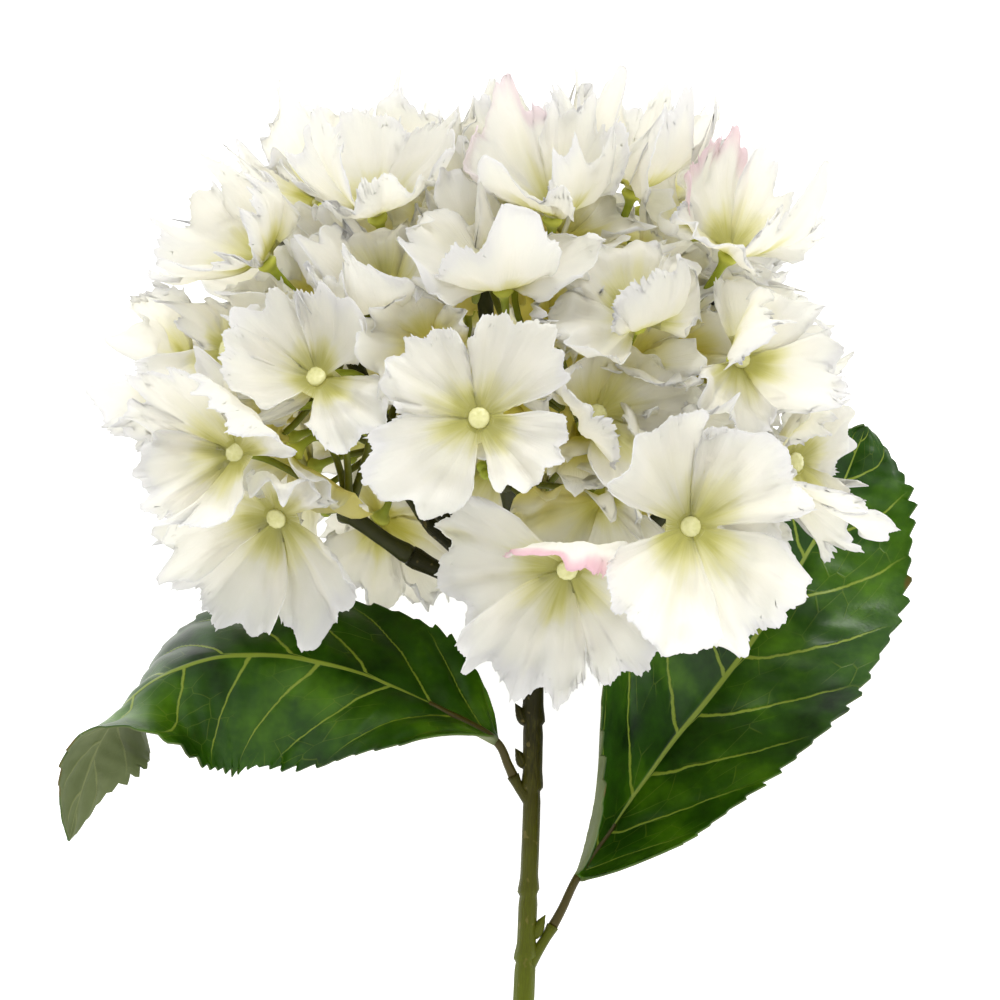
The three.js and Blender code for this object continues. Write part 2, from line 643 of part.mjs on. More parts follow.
const petalLook = new THREE.MeshStandardMaterial({ color: 0xf4f1e2, roughness: 0.75, metalness: 0 });
const leafLook = new THREE.MeshStandardMaterial({ color: 0x2c5a1e, roughness: 0.45, metalness: 0 });
const stemLook = new THREE.MeshStandardMaterial({ color: 0x46501a, roughness: 0.5, metalness: 0 });

const flower = new THREE.Group();

function addPiece(name, solid, look) {
  const mesh = new THREE.Mesh(geometryOf(solid), look);
  mesh.name = name;
  flower.add(mesh);
}

const knots = Object.fromEntries(Object.entries(SPRAYS).map(([name, place]) => [name, vector(place)]));
const florets = allFlorets();
for (const floret of florets) {
  const middle = floret.at.clone();
  const nearest = (a, b) => (knots[a].distanceTo(middle) < knots[b].distanceTo(middle) ? a : b);
  floret.spray = Object.keys(knots).reduce(nearest);
}

const stem = stemSolid();
addPiece("stem", stem, stemLook);
for (const [name, knot] of Object.entries(knots)) {
  const own = florets.filter((f) => f.spray === name);
  addPiece(name, spraySolid(knot, own), petalLook);
}
for (const [name, leaf] of Object.entries(LEAVES)) addPiece(name, leafSolid(leaf), leafLook);

// Lays the flower down: the way it faces turns up, and its stem slopes down to the surface.
flower.rotation.x = SLOPE - Math.PI / 2;
flower.position.set(PLACE.x, PLACE.y, LIFT);
const lying = new THREE.Group();
lying.add(flower);

export default lying;
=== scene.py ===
"""A cut hydrangea lying on a pale floor: its petals, beads, stalks, stem and leaves in fine detail."""

import math

import bpy
import numpy as np
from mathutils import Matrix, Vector
from numpy.linalg import norm


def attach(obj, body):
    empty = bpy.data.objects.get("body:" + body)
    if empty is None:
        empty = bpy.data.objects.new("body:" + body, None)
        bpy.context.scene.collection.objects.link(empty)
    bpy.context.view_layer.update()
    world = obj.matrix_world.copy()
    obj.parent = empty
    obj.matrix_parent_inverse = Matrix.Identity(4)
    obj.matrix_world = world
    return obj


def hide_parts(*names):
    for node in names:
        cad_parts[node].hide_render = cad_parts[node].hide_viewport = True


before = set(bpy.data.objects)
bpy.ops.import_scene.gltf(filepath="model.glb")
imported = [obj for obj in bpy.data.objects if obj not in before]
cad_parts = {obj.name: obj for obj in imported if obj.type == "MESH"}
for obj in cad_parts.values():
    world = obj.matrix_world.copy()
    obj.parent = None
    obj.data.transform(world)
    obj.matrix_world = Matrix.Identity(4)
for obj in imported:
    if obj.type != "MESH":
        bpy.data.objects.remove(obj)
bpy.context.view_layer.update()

# Millimetres, in the flower's own frame: z runs up the stem from the foot of the head, x to the right
# and y away from whoever faces the flower

SLOPE = math.radians(15)
STEM_LENGTH = 215
STEM_RADIUS = 2.7
STEM_SIDES = 26
STEM_RINGS = [-7.1, -22.6, -46.7, -61.6, -118, -168]
BUDS = [(-7, 180, 5), (-17, 175, 4.5), (-56, -5, 5.5), (-112, 100, 4.5)]  # height, turn, length
FORK = np.array([0.0, 0, 20])  # where the stem divides
BRANCH_JOINT = 0.62  # the share of a branch that belongs to the stem
PETIOLE_JOINT = 0.38  # the same of a leaf's stalk
PETIOLE_GAP = 0.0015
PLACE = (7.34, 32.18)  # of the foot of the head on the floor
LIFT = STEM_LENGTH * math.sin(SLOPE) + STEM_RADIUS * math.cos(SLOPE)
DOWN = np.array([0, math.cos(SLOPE), -math.sin(SLOPE)])

# The head, with a bare spot at its lower left
SEED = 20
HEAD_CENTRE = np.array([-10.0, 0, 68])
HEAD_HALF = np.array([62.0, 65, 51])
PLACES_ON_DOME = 84
OPEN_BELOW = -0.66  # no florets lower than this share of the head
FLORET_ROOM = 19.5
LEAF_ROOM = 14
BARE_SPOT = np.array([-28.0, -46, 40])
BARE_ROOM = 22
INNER_PLACES = 66
INNER_BELOW = -0.35
INNER_BARE_ROOM = 34
INNER_REACH = 21

# Petals
PETALS = 4
PETAL_REACH = 25
PETAL_HALF_ANGLE = math.radians(44)
PETAL_ROOT = 3.4
HEART_HEIGHT = 8  # how far over its own plane a floret meets its neighbours
BLADE = 0.8  # the room that a petal takes up
OVERLAP_GAP = 0.6
LONGEST = 1.18  # how many reaches from its floret a bent petal may end
CALM_FLORETS = 6  # the large ones in front, with smoother petals
FINE_SEED = 77
BEAD_RADIUS = 2.3
BEAD_HEIGHT = 0.9
PHASES = (0, 6.3)

# Walls between petals, and how petals give way to them
CLEAR = 0.35  # between a petal and a wall
SOFT = 5  # how far before a wall a petal starts to bend
LEAN = 5  # how much a wall leans where one floret stands higher
SHINGLE = 0.35  # and where one is further up the head
STEEPEST = 1.5
CENTRE_ROOM = 4
STALK_ROOM = 3.4
POINT_ROOM = 3
SLIDE_SHARE = 0.85
FARTHEST_SLIDE = 9
PRESSES = 6
RISES = [math.radians(rise) for rise in range(-30, 76, 7)]
PROBES = [(1, 0), (0.7, 0), (0.85, -0.7), (0.85, 0.7)]  # shares of the way out and to the side
STUBBORN = 0.15  # how much the petals in front hold to their own rise
YIELDING = 0.0225  # and all the others
WIDTHS_LEFT = (0.25, 0.7)  # where a squeezed petal is shortest, and from where it keeps its length
LENGTHS_LEFT = (0.35, 1)

# Single petals by floret and petal: how far they curl over, the length they keep, how pink their edge is
CURLED_OVER = {
    (5, 0): 1.5, (7, 1): 2.2, (7, 2): 1.9, (12, 3): 2.1, (9, 1): 1.7, (10, 1): 2.0, (13, 3): 1.9,
    (6, 3): 1.5, (8, 3): 1.7, (11, 3): 1.8, (14, 2): 1.6, (17, 3): 1.7, (15, 1): 1.5, (3, 1): 1.3,
}
CUT_SHORTER = {(18, 0): 0.7}
PINK_EDGED = {(5, 0): 0.35, (11, 1): 0.12, (8, 1): 0.2}
CURLED = 1  # from this curl on a petal is laid neither over nor under those beside it

# Stretches across and along a petal up to its rim, and across and along the rim
FRONT_GRID = (32, 13, 148, 4)
DOME_GRID = (22, 8, 80, 3)
INNER_GRID = (14, 5, 28, 2)
RIM = 0.84

SPRAYS = {
    "spray_front_left": [-42, -12, 41],
    "spray_front": [-6, -30, 48],
    "spray_front_right": [32, -16, 44],
    "spray_left": [-44, 6, 82],
    "spray_top": [-12, -8, 100],
    "spray_right": [30, 2, 84],
    "spray_back_left": [-36, 34, 56],
    "spray_back_right": [16, 36, 60],
}

# at, face, turns, reach, rise, proud
FRONT_FLORETS = [
    ([-12, -68, 61], [-0.05, -1, 0.08], [58, 140, 222, 323], 23.5, 7, 8),
    ([-47, -50, 70], [-0.3, -0.85, 0.45], [60, 132, 195, 318], 22, 16, 5),
    ([-65, -42, 54], [-0.45, -0.85, 0.05], [40, 140, 200, 262], 25, 22, 6),
    ([-57, -28, 40], [-0.35, -0.85, -0.4], [60, 170, 232, 300], 29, 6, 0),
    ([33, -58, 38], [0.2, -0.97, 0], [48, 118, 238, 310], 29, 18, 8),
    ([7, -50, 29], [-0.05, -0.9, -0.45], [85, 172, 240, 316], 30, 4, 0),
    ([-7, -50, 90], [-0.1, -0.7, 0.7], [5, 100, 185, 275], 26, 20, 4),
    ([13, -52, 62], [0.35, -0.9, 0.2], [30, 120, 215, 300], 25, 26, -3),
    ([43, -36, 98], [0.45, -0.5, 0.75], [20, 105, 200, 285], 25, 22, 3),
    ([44, -50, 74], [0.4, -0.85, 0.35], [65, 150, 240, 330], 25, 18, 0),
    ([57, -33, 52], [0.65, -0.75, 0], [35, 125, 215, 305], 25, 14, 0),
    ([4, -40, 106], [0.05, -0.6, 0.8], [50, 135, 228, 312], 26, 24, 2),
    ([22, -52, 82], [0.15, -0.85, 0.5], [20, 110, 205, 290], 25, 22, -2),
    ([-32, -46, 88], [-0.2, -0.75, 0.6], [15, 110, 200, 290], 25, 18, 0),
    ([-35, -32, 107], [-0.25, -0.6, 0.75], [40, 130, 220, 310], 27, 24, 3),
    ([-60, -28, 97], [-0.6, -0.45, 0.65], [10, 100, 190, 280], 26, 20, 0),
    ([-67, -36, 77], [-0.7, -0.65, 0.3], [55, 140, 235, 325], 24, 16, 0),
    ([22, -26, 113], [0.2, -0.5, 0.85], [25, 115, 205, 295], 26, 24, 0),
]

INNER_FLORETS = [
    ([15, -40, 44], [0.1, -1, -0.15], [20, 108, 200, 290], 22, 24),
    ([26, -42, 58], [0, -1, 0.2], [20, 108, 200, 290], 22, 24),
]

LEAVES = {
    "leaf_left": dict(
        petiole=[[-0.3, 0, -26], [-3.4, -0.5, -22], [-5.6, -0.8, -17.5]],
        midrib=[
            [-8.3, -1, -12], [-24, -1, -3], [-40, -1, 4], [-58, -2, 8], [-74, -4, 7.5],
            [-88, -6, 2], [-98, -8, -8], [-103, -9, -20], [-106, -9, -34],
        ],
        shares=[0, 0.16, 0.35, 0.62, 0.78, 1],
        spread=[
            [0, -0.8, -0.6], [0, -0.72, -0.7], [0, -0.52, -0.85],
            [-0.1, -0.8, -0.6], [-0.5, -0.84, -0.2], [-0.75, -0.66, 0],
        ],
        fold=[18, 2, -18, -20, -14, -4],
        half_widths=[27, 27],
        tapers=[0.8, 0.85],
        fuller=[0, 0],
        phase=0.4,
    ),
    "leaf_right": dict(
        petiole=[[-1, 0, -63], [2.4, 0.4, -58], [6.5, 1.6, -51]],
        midrib=[
            [10, 4, -44], [19, 12, -32], [32, 22, -15], [46, 33, 1], [59, 43, 18],
            [70, 50, 36], [78, 54, 52], [82, 55, 62],
        ],
        shares=[0, 0.2, 0.5, 0.8, 1],
        spread=[
            [-0.75, -0.35, 0.55], [-0.8, -0.15, 0.58], [-0.82, 0.1, 0.56],
            [-0.85, 0.1, 0.5], [-0.85, 0, 0.5],
        ],
        fold=[46, 32, 14, 10, 6],
        half_widths=[34, 33],
        tapers=[0.84, 0.62],
        fuller=[-4.5, 6],
        phase=2.1,
    ),
}
LEAF_STEPS = 26
LEAF_PROBE = 0.06
LEAF_ROWS = 190
LEAF_COLUMNS = 27
LEAF_TEETH = 31
LEAF_RIBS = 8.5


def random_from(seed):
    """Draws the same numbers each time, between a low and a high value."""
    state = seed

    def draw(low, high):
        nonlocal state
        state = (state * 1664525 + 1013904223) % 4294967296
        return low + (high - low) * state / 4294967296

    return draw


def unit(v):
    v = np.asarray(v, float)
    return v / norm(v, axis=-1, keepdims=True)


def lerp(a, b, t):
    return a + (b - a) * t


def smooth(low, high, x):
    t = np.clip((x - low) / (high - low), 0, 1)
    return t * t * (3 - 2 * t)


def turns_of(sides):
    return 2 * np.pi * np.arange(sides) / sides


def spanned(at, axes, amounts):
    """Points that lie some amounts along some axes from a place."""
    for axis, amount in zip(axes, amounts):
        at = at + np.multiply.outer(amount, axis)
    return at


# ---- Curves


def bezier(p0, p1, p2, t):
    t = np.asarray(t, float)[..., None]
    return (1 - t) ** 2 * p0 + 2 * (1 - t) * t * p1 + t * t * p2


def catmull_rom(points, t):
    """A centripetal spline through points, at share t of its way."""
    points = np.asarray(points, float)
    last = len(points) - 1
    i = min(int(math.floor(last * t)), last - 1)
    w = last * t - i
    p1, p2 = points[i], points[i + 1]
    p0 = points[i - 1] if i > 0 else 2 * points[0] - points[1]
    p3 = points[i + 2] if i + 2 <= last else 2 * points[last] - points[last - 1]
    d0, d1, d2 = (np.sum((a - b) ** 2) ** 0.25 for a, b in ((p0, p1), (p1, p2), (p2, p3)))
    t1 = ((p1 - p0) / d0 - (p2 - p0) / (d0 + d1) + (p2 - p1) / d1) * d1
    t2 = ((p2 - p1) / d1 - (p3 - p1) / (d1 + d2) + (p3 - p2) / d2) * d1
    return p1 + t1 * w + (-3 * p1 + 3 * p2 - 2 * t1 - t2) * w**2 + (2 * p1 - 2 * p2 + t1 + t2) * w**3


def spline_way(points, t):
    return unit(catmull_rom(points, min(1, t + 1e-4)) - catmull_rom(points, max(0, t - 1e-4)))


# ---- Leaf form


def at_share(shares, values, s):
    i = 0
    while i + 2 < len(shares) and s > shares[i + 1]:
        i += 1
    part = (s - shares[i]) / (shares[i + 1] - shares[i])
    return lerp(np.asarray(values[i], float), np.asarray(values[i + 1], float), part)


def leaf_frame(leaf, s):
    ahead = spline_way(leaf["midrib"], s)
    across = at_share(leaf["shares"], leaf["spread"], s)
    across = unit(across - across.dot(ahead) * ahead)
    fold = math.radians(at_share(leaf["shares"], leaf["fold"], s))
    return catmull_rom(leaf["midrib"], s), ahead, across, np.cross(ahead, across), fold


def leaf_width(leaf, s, side):
    half = 1 if side > 0 else 0
    s = min(max(s, 0.0), 1.0)
    bulge = max(0.0, math.sin(math.pi * s ** leaf["tapers"][half])) ** 0.8
    return leaf["half_widths"][half] * bulge * (1 - 0.12 * s)


def leaf_place(leaf, s, side, t, width, extra_up=0.0, extra_ahead=0.0):
    """Points of a leaf at share s of its length, on one side, at shares t (an array) of its width."""
    centre, ahead, across, up, fold = leaf_frame(leaf, s)
    t = np.asarray(t, float)
    reach = width * t
    bend = fold + 0.5 * fold * t
    wave = 1.6 * t * t * math.sin(2 * math.pi * (2.6 * s + 0.2 * side) + leaf["phase"])
    amounts = (side * reach * np.cos(bend), reach * np.sin(bend) + wave + extra_up, extra_ahead + 0 * t)
    return spanned(centre, (across, up, ahead), amounts)


def points_of_leaf(leaf):
    """A few points all over a leaf, of which florets and petals keep clear."""
    places = []
    s = LEAF_PROBE
    while s < 1:
        tooth = 1.5 if math.floor(s * LEAF_STEPS + 0.5) % 2 else 0
        for t in (-1, -0.66, -0.33, 0, 0.33, 0.66, 1):
            side = (t > 0) - (t < 0)
            width = leaf_width(leaf, s, side) + tooth * min(1, 8 * s * (1 - s))
            places.append(leaf_place(leaf, s, side, [abs(t)], width, 0, tooth * abs(t) * 0.6)[0])
        s += LEAF_PROBE
    return np.array(places)


# ---- Florets and the walls between them


def spread_directions(count, first=0):
    """Directions spread evenly by the golden angle, from the top down."""
    golden = math.pi * (3 - math.sqrt(5))
    for i in range(count):
        up = 1 - (2 * i + 1) / count
        out = math.sqrt(1 - up * up)
        turn = golden * i + first
        yield np.array([out * math.cos(turn), out * math.sin(turn), up])


def drawn_tilt(random, most):
    return np.array([random(-most, most) for _ in range(3)])


def drawn_turns(random):
    roll = random(0, 90)
    return [roll + 360 * k / PETALS + random(-7, 7) for k in range(PETALS)]


def new_floret(at, face, turns, reach, rise, proud=0, front=False, grid=DOME_GRID):
    at = np.array(at, float)
    return dict(at=at, face=face, turns=turns, reach=reach, rise=rise, proud=proud, front=front, grid=grid)


def dome_places(random):
    for direction in spread_directions(PLACES_ON_DOME):
        depth = random(-0.05, 0.05)
        tilt = drawn_tilt(random, 0.22)
        turns = drawn_turns(random)
        reach = PETAL_REACH * random(0.94, 1.1)
        rise = random(4, 30)
        proud = random(-7, 7)
        at = direction * HEAD_HALF * (1 + depth) + HEAD_CENTRE
        if direction[2] < OPEN_BELOW or norm(at - BARE_SPOT) < BARE_ROOM:
            continue
        face = unit(unit(direction / HEAD_HALF) + 0.35 * unit(at - FORK) + tilt)
        yield new_floret(at + proud * face, face, turns, reach, rise)


def inner_places(random):
    """Smaller florets deep between the others, which fill the gaps that show inside the head."""
    for at, face, *rest in INNER_FLORETS:
        yield new_floret(at, unit(face), *rest)
    for direction in spread_directions(INNER_PLACES, 1):
        at = direction * HEAD_HALF * random(0.74, 0.87) + HEAD_CENTRE
        tilt = drawn_tilt(random, 0.3)
        turns = drawn_turns(random)
        rise = random(10, 40)
        if direction[2] < INNER_BELOW or norm(at - BARE_SPOT) < INNER_BARE_ROOM:
            continue
        yield new_floret(at, unit(direction + tilt), turns, INNER_REACH, rise, grid=INNER_GRID)


def axes_of(face):
    v = np.array([0, 0, 1.0]) - face[2] * face
    if norm(v) < 0.2:
        v = np.array([0, 1.0, 0]) - face[1] * face
    v = unit(v)
    return unit(np.cross(v, face)), v


def walls_between(floret, florets):
    """A leaning wall half-way to each neighbour, and an upright one before its stalk."""
    near = [o for o in florets if o is not floret and distance(o, floret) < 3 * PETAL_REACH]
    near.sort(key=lambda o: distance(o, floret))
    walls = []
    for o in near:
        across = o["heart"] - floret["heart"]
        outward = unit(o["face"] + floret["face"])
        higher = across.dot(outward)
        apart = norm(across - higher * outward)
        beside = (across - higher * outward) / apart
        middle = (o["heart"] + floret["heart"]) / 2
        tilt = np.clip((LEAN * higher + SHINGLE * across[2]) / apart, -STEEPEST, STEEPEST)
        normal = unit(beside + tilt * outward)
        while abs(tilt) > 0.05 and room_beside(middle, normal, floret, o) < CENTRE_ROOM:
            tilt *= 0.8
            normal = unit(beside + tilt * outward)
        walls.append((normal, middle.dot(normal) - CLEAR - BLADE / 2))
        walls.append((beside, o["at"].dot(beside) - STALK_ROOM))
    return walls


def room_beside(middle, normal, floret, other):
    """How far the wall between two florets stays from the nearer one."""
    return min((middle - floret["at"]).dot(normal), (other["at"] - middle).dot(normal))


def distance(a, b):
    return norm(a["heart"] - b["heart"])


def walls_before(points, place, near):
    """A wall round a place before each of the points that are near it."""
    walls = []
    for point in points:
        if norm(point - place) < near:
            across = unit(point - place)
            walls.append((across, point.dot(across) - POINT_ROOM))
    return walls


def all_florets():
    random = random_from(SEED)
    florets = [
        new_floret(at, unit(face), *rest, front=True, grid=FRONT_GRID)
        for at, face, *rest in FRONT_FLORETS
    ]
    leaf_points = np.concatenate([points_of_leaf(leaf) for leaf in LEAVES.values()])
    for place in dome_places(random):
        free = all(norm(f["at"] - place["at"]) > FLORET_ROOM for f in florets)
        if free and norm(leaf_points - place["at"], axis=1).min() > LEAF_ROOM:
            florets.append(place)
    for f in florets:
        give_petals(f, random)
    for f in florets:
        settle(f, walls_between(f, florets), leaf_points)
    inner = list(inner_places(random))
    for f in inner:
        give_petals(f, random)
    for f in inner:
        walls = walls_before([o["at"] for o in florets], f["at"], 1.4 * PETAL_REACH)
        settle(f, walls + walls_between(f, inner), leaf_points)
    return florets, inner


def give_petals(floret, random):
    floret["heart"] = floret["at"] + floret["face"] * (HEART_HEIGHT + floret["proud"])
    floret["u"], floret["v"] = axes_of(floret["face"])
    floret["petals"] = [
        dict(
            turn=math.radians(turn),
            reach=floret["reach"] * random(0.92, 1.08),
            rise=math.radians(floret["rise"] + random(-1, 1) * (9 if floret["front"] else 18)),
            curl=random(-0.5, 0.6),
            trough=random(-0.4, 0.7),
            twist=random(-0.45, 0.45),
            ruffle=random(1.2, 3.0),
            waves=random(1.2, 1.9),
            phase=random(0, 2 * math.pi),
        )
        for turn in floret["turns"]
    ]


def settle(floret, walls, leaf_points):
    """Gives a floret its walls and its spray, and each petal the rise that suits its neighbours best."""
    before_leaves = walls_before(leaf_points, floret["heart"], 2 * PETAL_REACH)
    floret["walls"] = [*walls, *before_leaves, (DOWN, LIFT - BLADE / 2)]
    floret["planes"] = [np.array(values) for values in zip(*floret["walls"])]
    floret["spray"] = min(SPRAYS, key=lambda name: norm(np.array(SPRAYS[name]) - floret["at"]))
    for petal in floret["petals"]:
        petal["rise"] = min(RISES, key=lambda rise: crowding(petal, floret, rise))


def crowding(petal, floret, rise):
    """How far a petal at some rise would go past the walls, and how far that is from its own rise."""
    reach = petal["reach"]
    normals, levels = floret["planes"]
    total = (STUBBORN if floret["front"] else YIELDING) * math.degrees(rise - petal["rise"]) ** 2
    for share, a in PROBES:
        angle = a * PETAL_HALF_ANGLE
        along, side = reach * share * math.cos(angle), reach * share * math.sin(angle)
        bend = rise + petal["curl"] * along / reach / 2
        ahead, up = along * math.cos(bend), along * math.sin(bend)
        point = over(floret, *turned(petal["turn"], ahead, side), up)
        total += np.sum(np.maximum(0, normals @ point - levels) ** 2)
    return total


def turned(turn, ahead, side):
    c, s = math.cos(turn), math.sin(turn)
    return c * ahead - s * side, s * ahead + c * side


def over(floret, x, y, up):
    """Points at x and y on a floret's plane and at some height over it."""
    return spanned(floret["at"], (floret["u"], floret["v"], floret["face"]), (x, y, up))


# ---- Petals


def details_of(random, calm):
    """What sets each petal apart: lobes, teeth, frills, rolled rims, dents and creases."""
    wild = random(0.8, 1.2) if calm else random(1.1, 1.8)

    def wave(frequencies, sizes, by=1):
        return random(*frequencies), random(*PHASES), random(*sizes) * by

    def dent():
        return random(-0.8, 0.8), random(-0.8, 0.8), random(*PHASES), random(0.25, 0.5) * wild

    return dict(
        fan=math.radians(random(-5, 0) if calm else random(-3, 7)),
        lobes=[
            wave((0.5, 0.9), (0.02, 0.05)),
            wave((1.2, 1.9), (0.025, 0.05)),
            wave((2.4, 3.6), (0.014, 0.03)),
        ],
        dents=[dent() for _ in range(3)],
        teeth=random(14, 19),
        teeth_phase=random(*PHASES),
        bite=random(0.012, 0.022) * (1 if calm else 1.6),
        frills=[
            wave((0.8, 1.4), (1.4, 2.6), wild),
            wave((1.7, 2.5), (0.4, 0.9), wild),
            wave((3.4, 5.2), (0.2, 0.42), wild),
        ],
        rolls=[wave((0.6, 1.1), (0.5, 1.1), wild), wave((1.5, 2.4), (0.3, 0.7), wild)],
        roll=0.25 if calm else -0.45,
        roll_width=random(3.5, 6.5),
        vee=random(-0.1, 0.24) * wild,
        crease=random(0.1, 0.24),
        ruffled=random(0.5, 1.1) * wild * (0.5 if calm else 1),
        crease_phase=random(*PHASES),
        seed=random(0, 40),
    )


def ragged(x):
    """A saw that leans and whose teeth differ in width and depth, between 0 and 1."""
    x = x + 0.28 * np.sin(2.3 * x + 1.1) + 0.2 * np.sin(5.9 * x)
    saw = x - np.floor(x)
    depth = 0.55 + 0.45 * np.sin(2.7 * np.floor(x) + 0.8)
    return depth * np.where(saw < 0.72, saw / 0.72, (1 - saw) / 0.28)


def waves(terms, a):
    return sum(size * np.sin(2 * np.pi * f * a + phase) for f, phase, size in terms)


def half_angle(petal, r):
    """Most petals fan out past a quarter turn, so that those next to each other overlap."""
    return PETAL_HALF_ANGLE + petal["fan"] * smooth(0.05, 0.45, r)


def crumpled(petal, along, side):
    """Soft dents all over a petal, like those of pressed cloth."""
    dents = petal["dents"]
    return sum(size * np.sin(x * along + y * side + phase) for x, y, phase, size in dents)


def petal_edge(petal, a):
    """How far out a petal's edge is, without its teeth, at a share to the side."""
    rounded = 1 - 0.26 * np.abs(a) ** 2.6 - 0.1 * np.abs(a) ** 10
    return petal["reach"] * (rounded + waves(petal["lobes"], a))


def petal_teeth(petal, a):
    bite = petal["bite"] * (0.7 + 0.6 * np.sin(3.1 * a + petal["teeth_phase"])) + 0.006
    return bite * 2 * (ragged(petal["teeth"] * a + petal["teeth_phase"]) - 0.6)


def petal_rise(petal, along, side, a):
    """How a petal bends up along its own middle, and how high it stands over its floret's plane."""
    bend = petal["rise"] + petal["curl"] * along / petal["reach"] / 2
    share = np.hypot(along, side) / petal["reach"]
    return bend, (
        along * np.sin(bend)
        + petal["trough"] * side * side / petal["reach"]
        + petal["twist"] * side * share
        + petal["ruffle"] * share * share * np.sin(2 * np.pi * petal["waves"] * a + petal["phase"])
        + petal["vee"] * np.abs(side) * share
        + crumpled(petal, along, side) * smooth(0.2, 0.6, share)
        + waves(petal["frills"], a) * np.clip(share, 0, 1.1) ** 2
    )


def petal_sheet(petal, r, a):
    """Points of a petal on its floret's plane, x and y, and their heights over it."""
    edge = petal_edge(petal, a)
    edge = edge + petal["reach"] * petal_teeth(petal, a) * smooth(0.3, 1, r)
    fringe = 0.012 * ragged(9 * r + petal["teeth_phase"]) * smooth(0.15, 0.5, r)
    angle = a * half_angle(petal, r) - np.sign(a) * smooth(0.86, 1, np.abs(a)) * fringe * 2
    far = PETAL_ROOT + (edge - PETAL_ROOT) * r
    width = petal["roll_width"]
    rolled = np.maximum(0, far - edge + width)
    roll = (petal["roll"] + waves(petal["rolls"], a)) * rolled / width
    far = far - rolled * (1 - np.sinc(roll / np.pi))
    along, side = far * np.cos(angle), far * np.sin(angle)
    bend, up = petal_rise(petal, along, side, a)
    up = up + rolled * np.sin(roll / 2) * np.sinc(roll / 2 / np.pi)
    return *turned(petal["turn"], along * np.cos(bend), side), up


def sheet_over(petal, x, y):
    """How high a petal is at a place of its floret's plane, more the further that is past its edge."""
    ahead, side = turned(-petal["turn"], x, y)
    along = ahead
    for _ in range(3):
        along = ahead / np.cos(petal["rise"] + petal["curl"] * along / petal["reach"] / 2)
    angle = np.arctan2(side, along)
    a = angle / PETAL_HALF_ANGLE
    for _ in range(3):
        r = (np.hypot(along, side) - PETAL_ROOT) / (petal_edge(petal, a) - PETAL_ROOT)
        a = np.clip(angle / half_angle(petal, r), -1.6, 1.6)
    _, up = petal_rise(petal, along, side, np.clip(a, -1.05, 1.05))
    beyond = np.maximum(0, np.abs(a) - 1.04) * 40 + np.maximum(0, r - 1.06) * 40
    return up + np.where(along < 1, 50, beyond)


def fine_petal(floret, k, r, a):
    """Points of a fine petal. Every second one runs behind the two beside it."""
    petal = floret["petals"][k]
    x, y, up = petal_sheet(petal, r, a)
    behind = k % 2
    if behind and petal["curl"] < CURLED:
        gap = OVERLAP_GAP * smooth(0, 0.15, r)
        for other in (floret["petals"][k - 1], floret["petals"][(k + 1) % PETALS]):
            if other["curl"] < CURLED:
                up = np.minimum(up, sheet_over(other, x, y) - gap)
    ruffled = petal["ruffled"] * np.clip(r, 0, 1) ** 2 * (
        1 + np.sin(2 * np.pi * (1.3 * a + 1.1 * r) + petal["phase"])
        + 0.35 * np.sin(2 * np.pi * (3.1 * a - 0.8 * r) + petal["seed"])
    )
    closer = ruffled + (0.3 if behind else -0.1)
    return press(over(floret, x, y, up), floret, LONGEST * petal["reach"], closer)


def spread_left(floret, k):
    """The share of its own width that a petal keeps between its neighbours."""
    petal = floret["petals"][k]
    kept = []
    for r in (0.6, 0.8, 1.0):
        left, right = fine_petal(floret, k, np.array([r, r]), np.array([-0.8, 0.8]))
        whole = 2 * r * petal["reach"] * math.sin(0.8 * PETAL_HALF_ANGLE)
        kept.append(norm(left - right) / whole)
    return min(kept)


def press(points, floret, longest, closer):
    """Bends points of a petal forward near its neighbours and keeps them in front of the walls."""
    p = points.reshape(-1, 3).copy()
    closer = np.broadcast_to(closer, points.shape[:-1]).ravel()
    face = floret["face"]
    slide = np.zeros_like(p)
    for across, level in floret["walls"]:
        past = p @ across - level + closer
        back = np.where(past > SOFT, past, (past + SOFT) ** 2 / (4 * SOFT))
        back = np.where(past < -SOFT, 0, back)
        way = unit(face - face.dot(across) * across) * (-1 if face.dot(across) > 0.45 else 1)
        p -= np.multiply.outer(back, across)
        slide += np.multiply.outer(back, SLIDE_SHARE * way)
    p += clamp_length(slide, FARTHEST_SLIDE)
    for _ in range(PRESSES):
        for across, level in floret["walls"]:
            p -= np.multiply.outer(np.maximum(0, p @ across - level + closer), across)
    return (clamp_length(p - floret["at"], longest) + floret["at"]).reshape(points.shape)


def clamp_length(v, longest):
    return v * np.minimum(1, longest / np.maximum(norm(v, axis=-1, keepdims=True), 1e-9))


# ---- Meshes


def height_of(p):
    return LIFT + p[..., 2] * math.sin(SLOPE) - p[..., 1] * math.cos(SLOPE)


def off_floor(p):
    return p - np.multiply.outer(np.maximum(0, -height_of(p)), DOWN)


def in_world(p):
    x, y, z = np.asarray(p, float).T
    c, s = math.cos(SLOPE), math.sin(SLOPE)
    return 0.001 * np.stack([x + PLACE[0], z * c + y * s + PLACE[1], z * s - y * c + LIFT], axis=1)


def grid_faces(numbers, closed=False):
    """Triangles over a grid of point numbers. The last column of a closed one meets its first."""
    if closed:
        numbers = np.concatenate([numbers, numbers[:, :1]], axis=1)
    a, b = numbers[:-1, :-1].ravel(), numbers[:-1, 1:].ravel()
    c, d = numbers[1:, 1:].ravel(), numbers[1:, :-1].ravel()
    return np.concatenate([np.stack([a, d, c], 1), np.stack([a, c, b], 1)])


def fan_faces(centre, ring, turned=False):
    ring = np.asarray(ring)
    after = np.roll(ring, -1)
    if turned:
        ring, after = after, ring
    return np.stack([np.full(len(ring), centre), ring, after], 1)


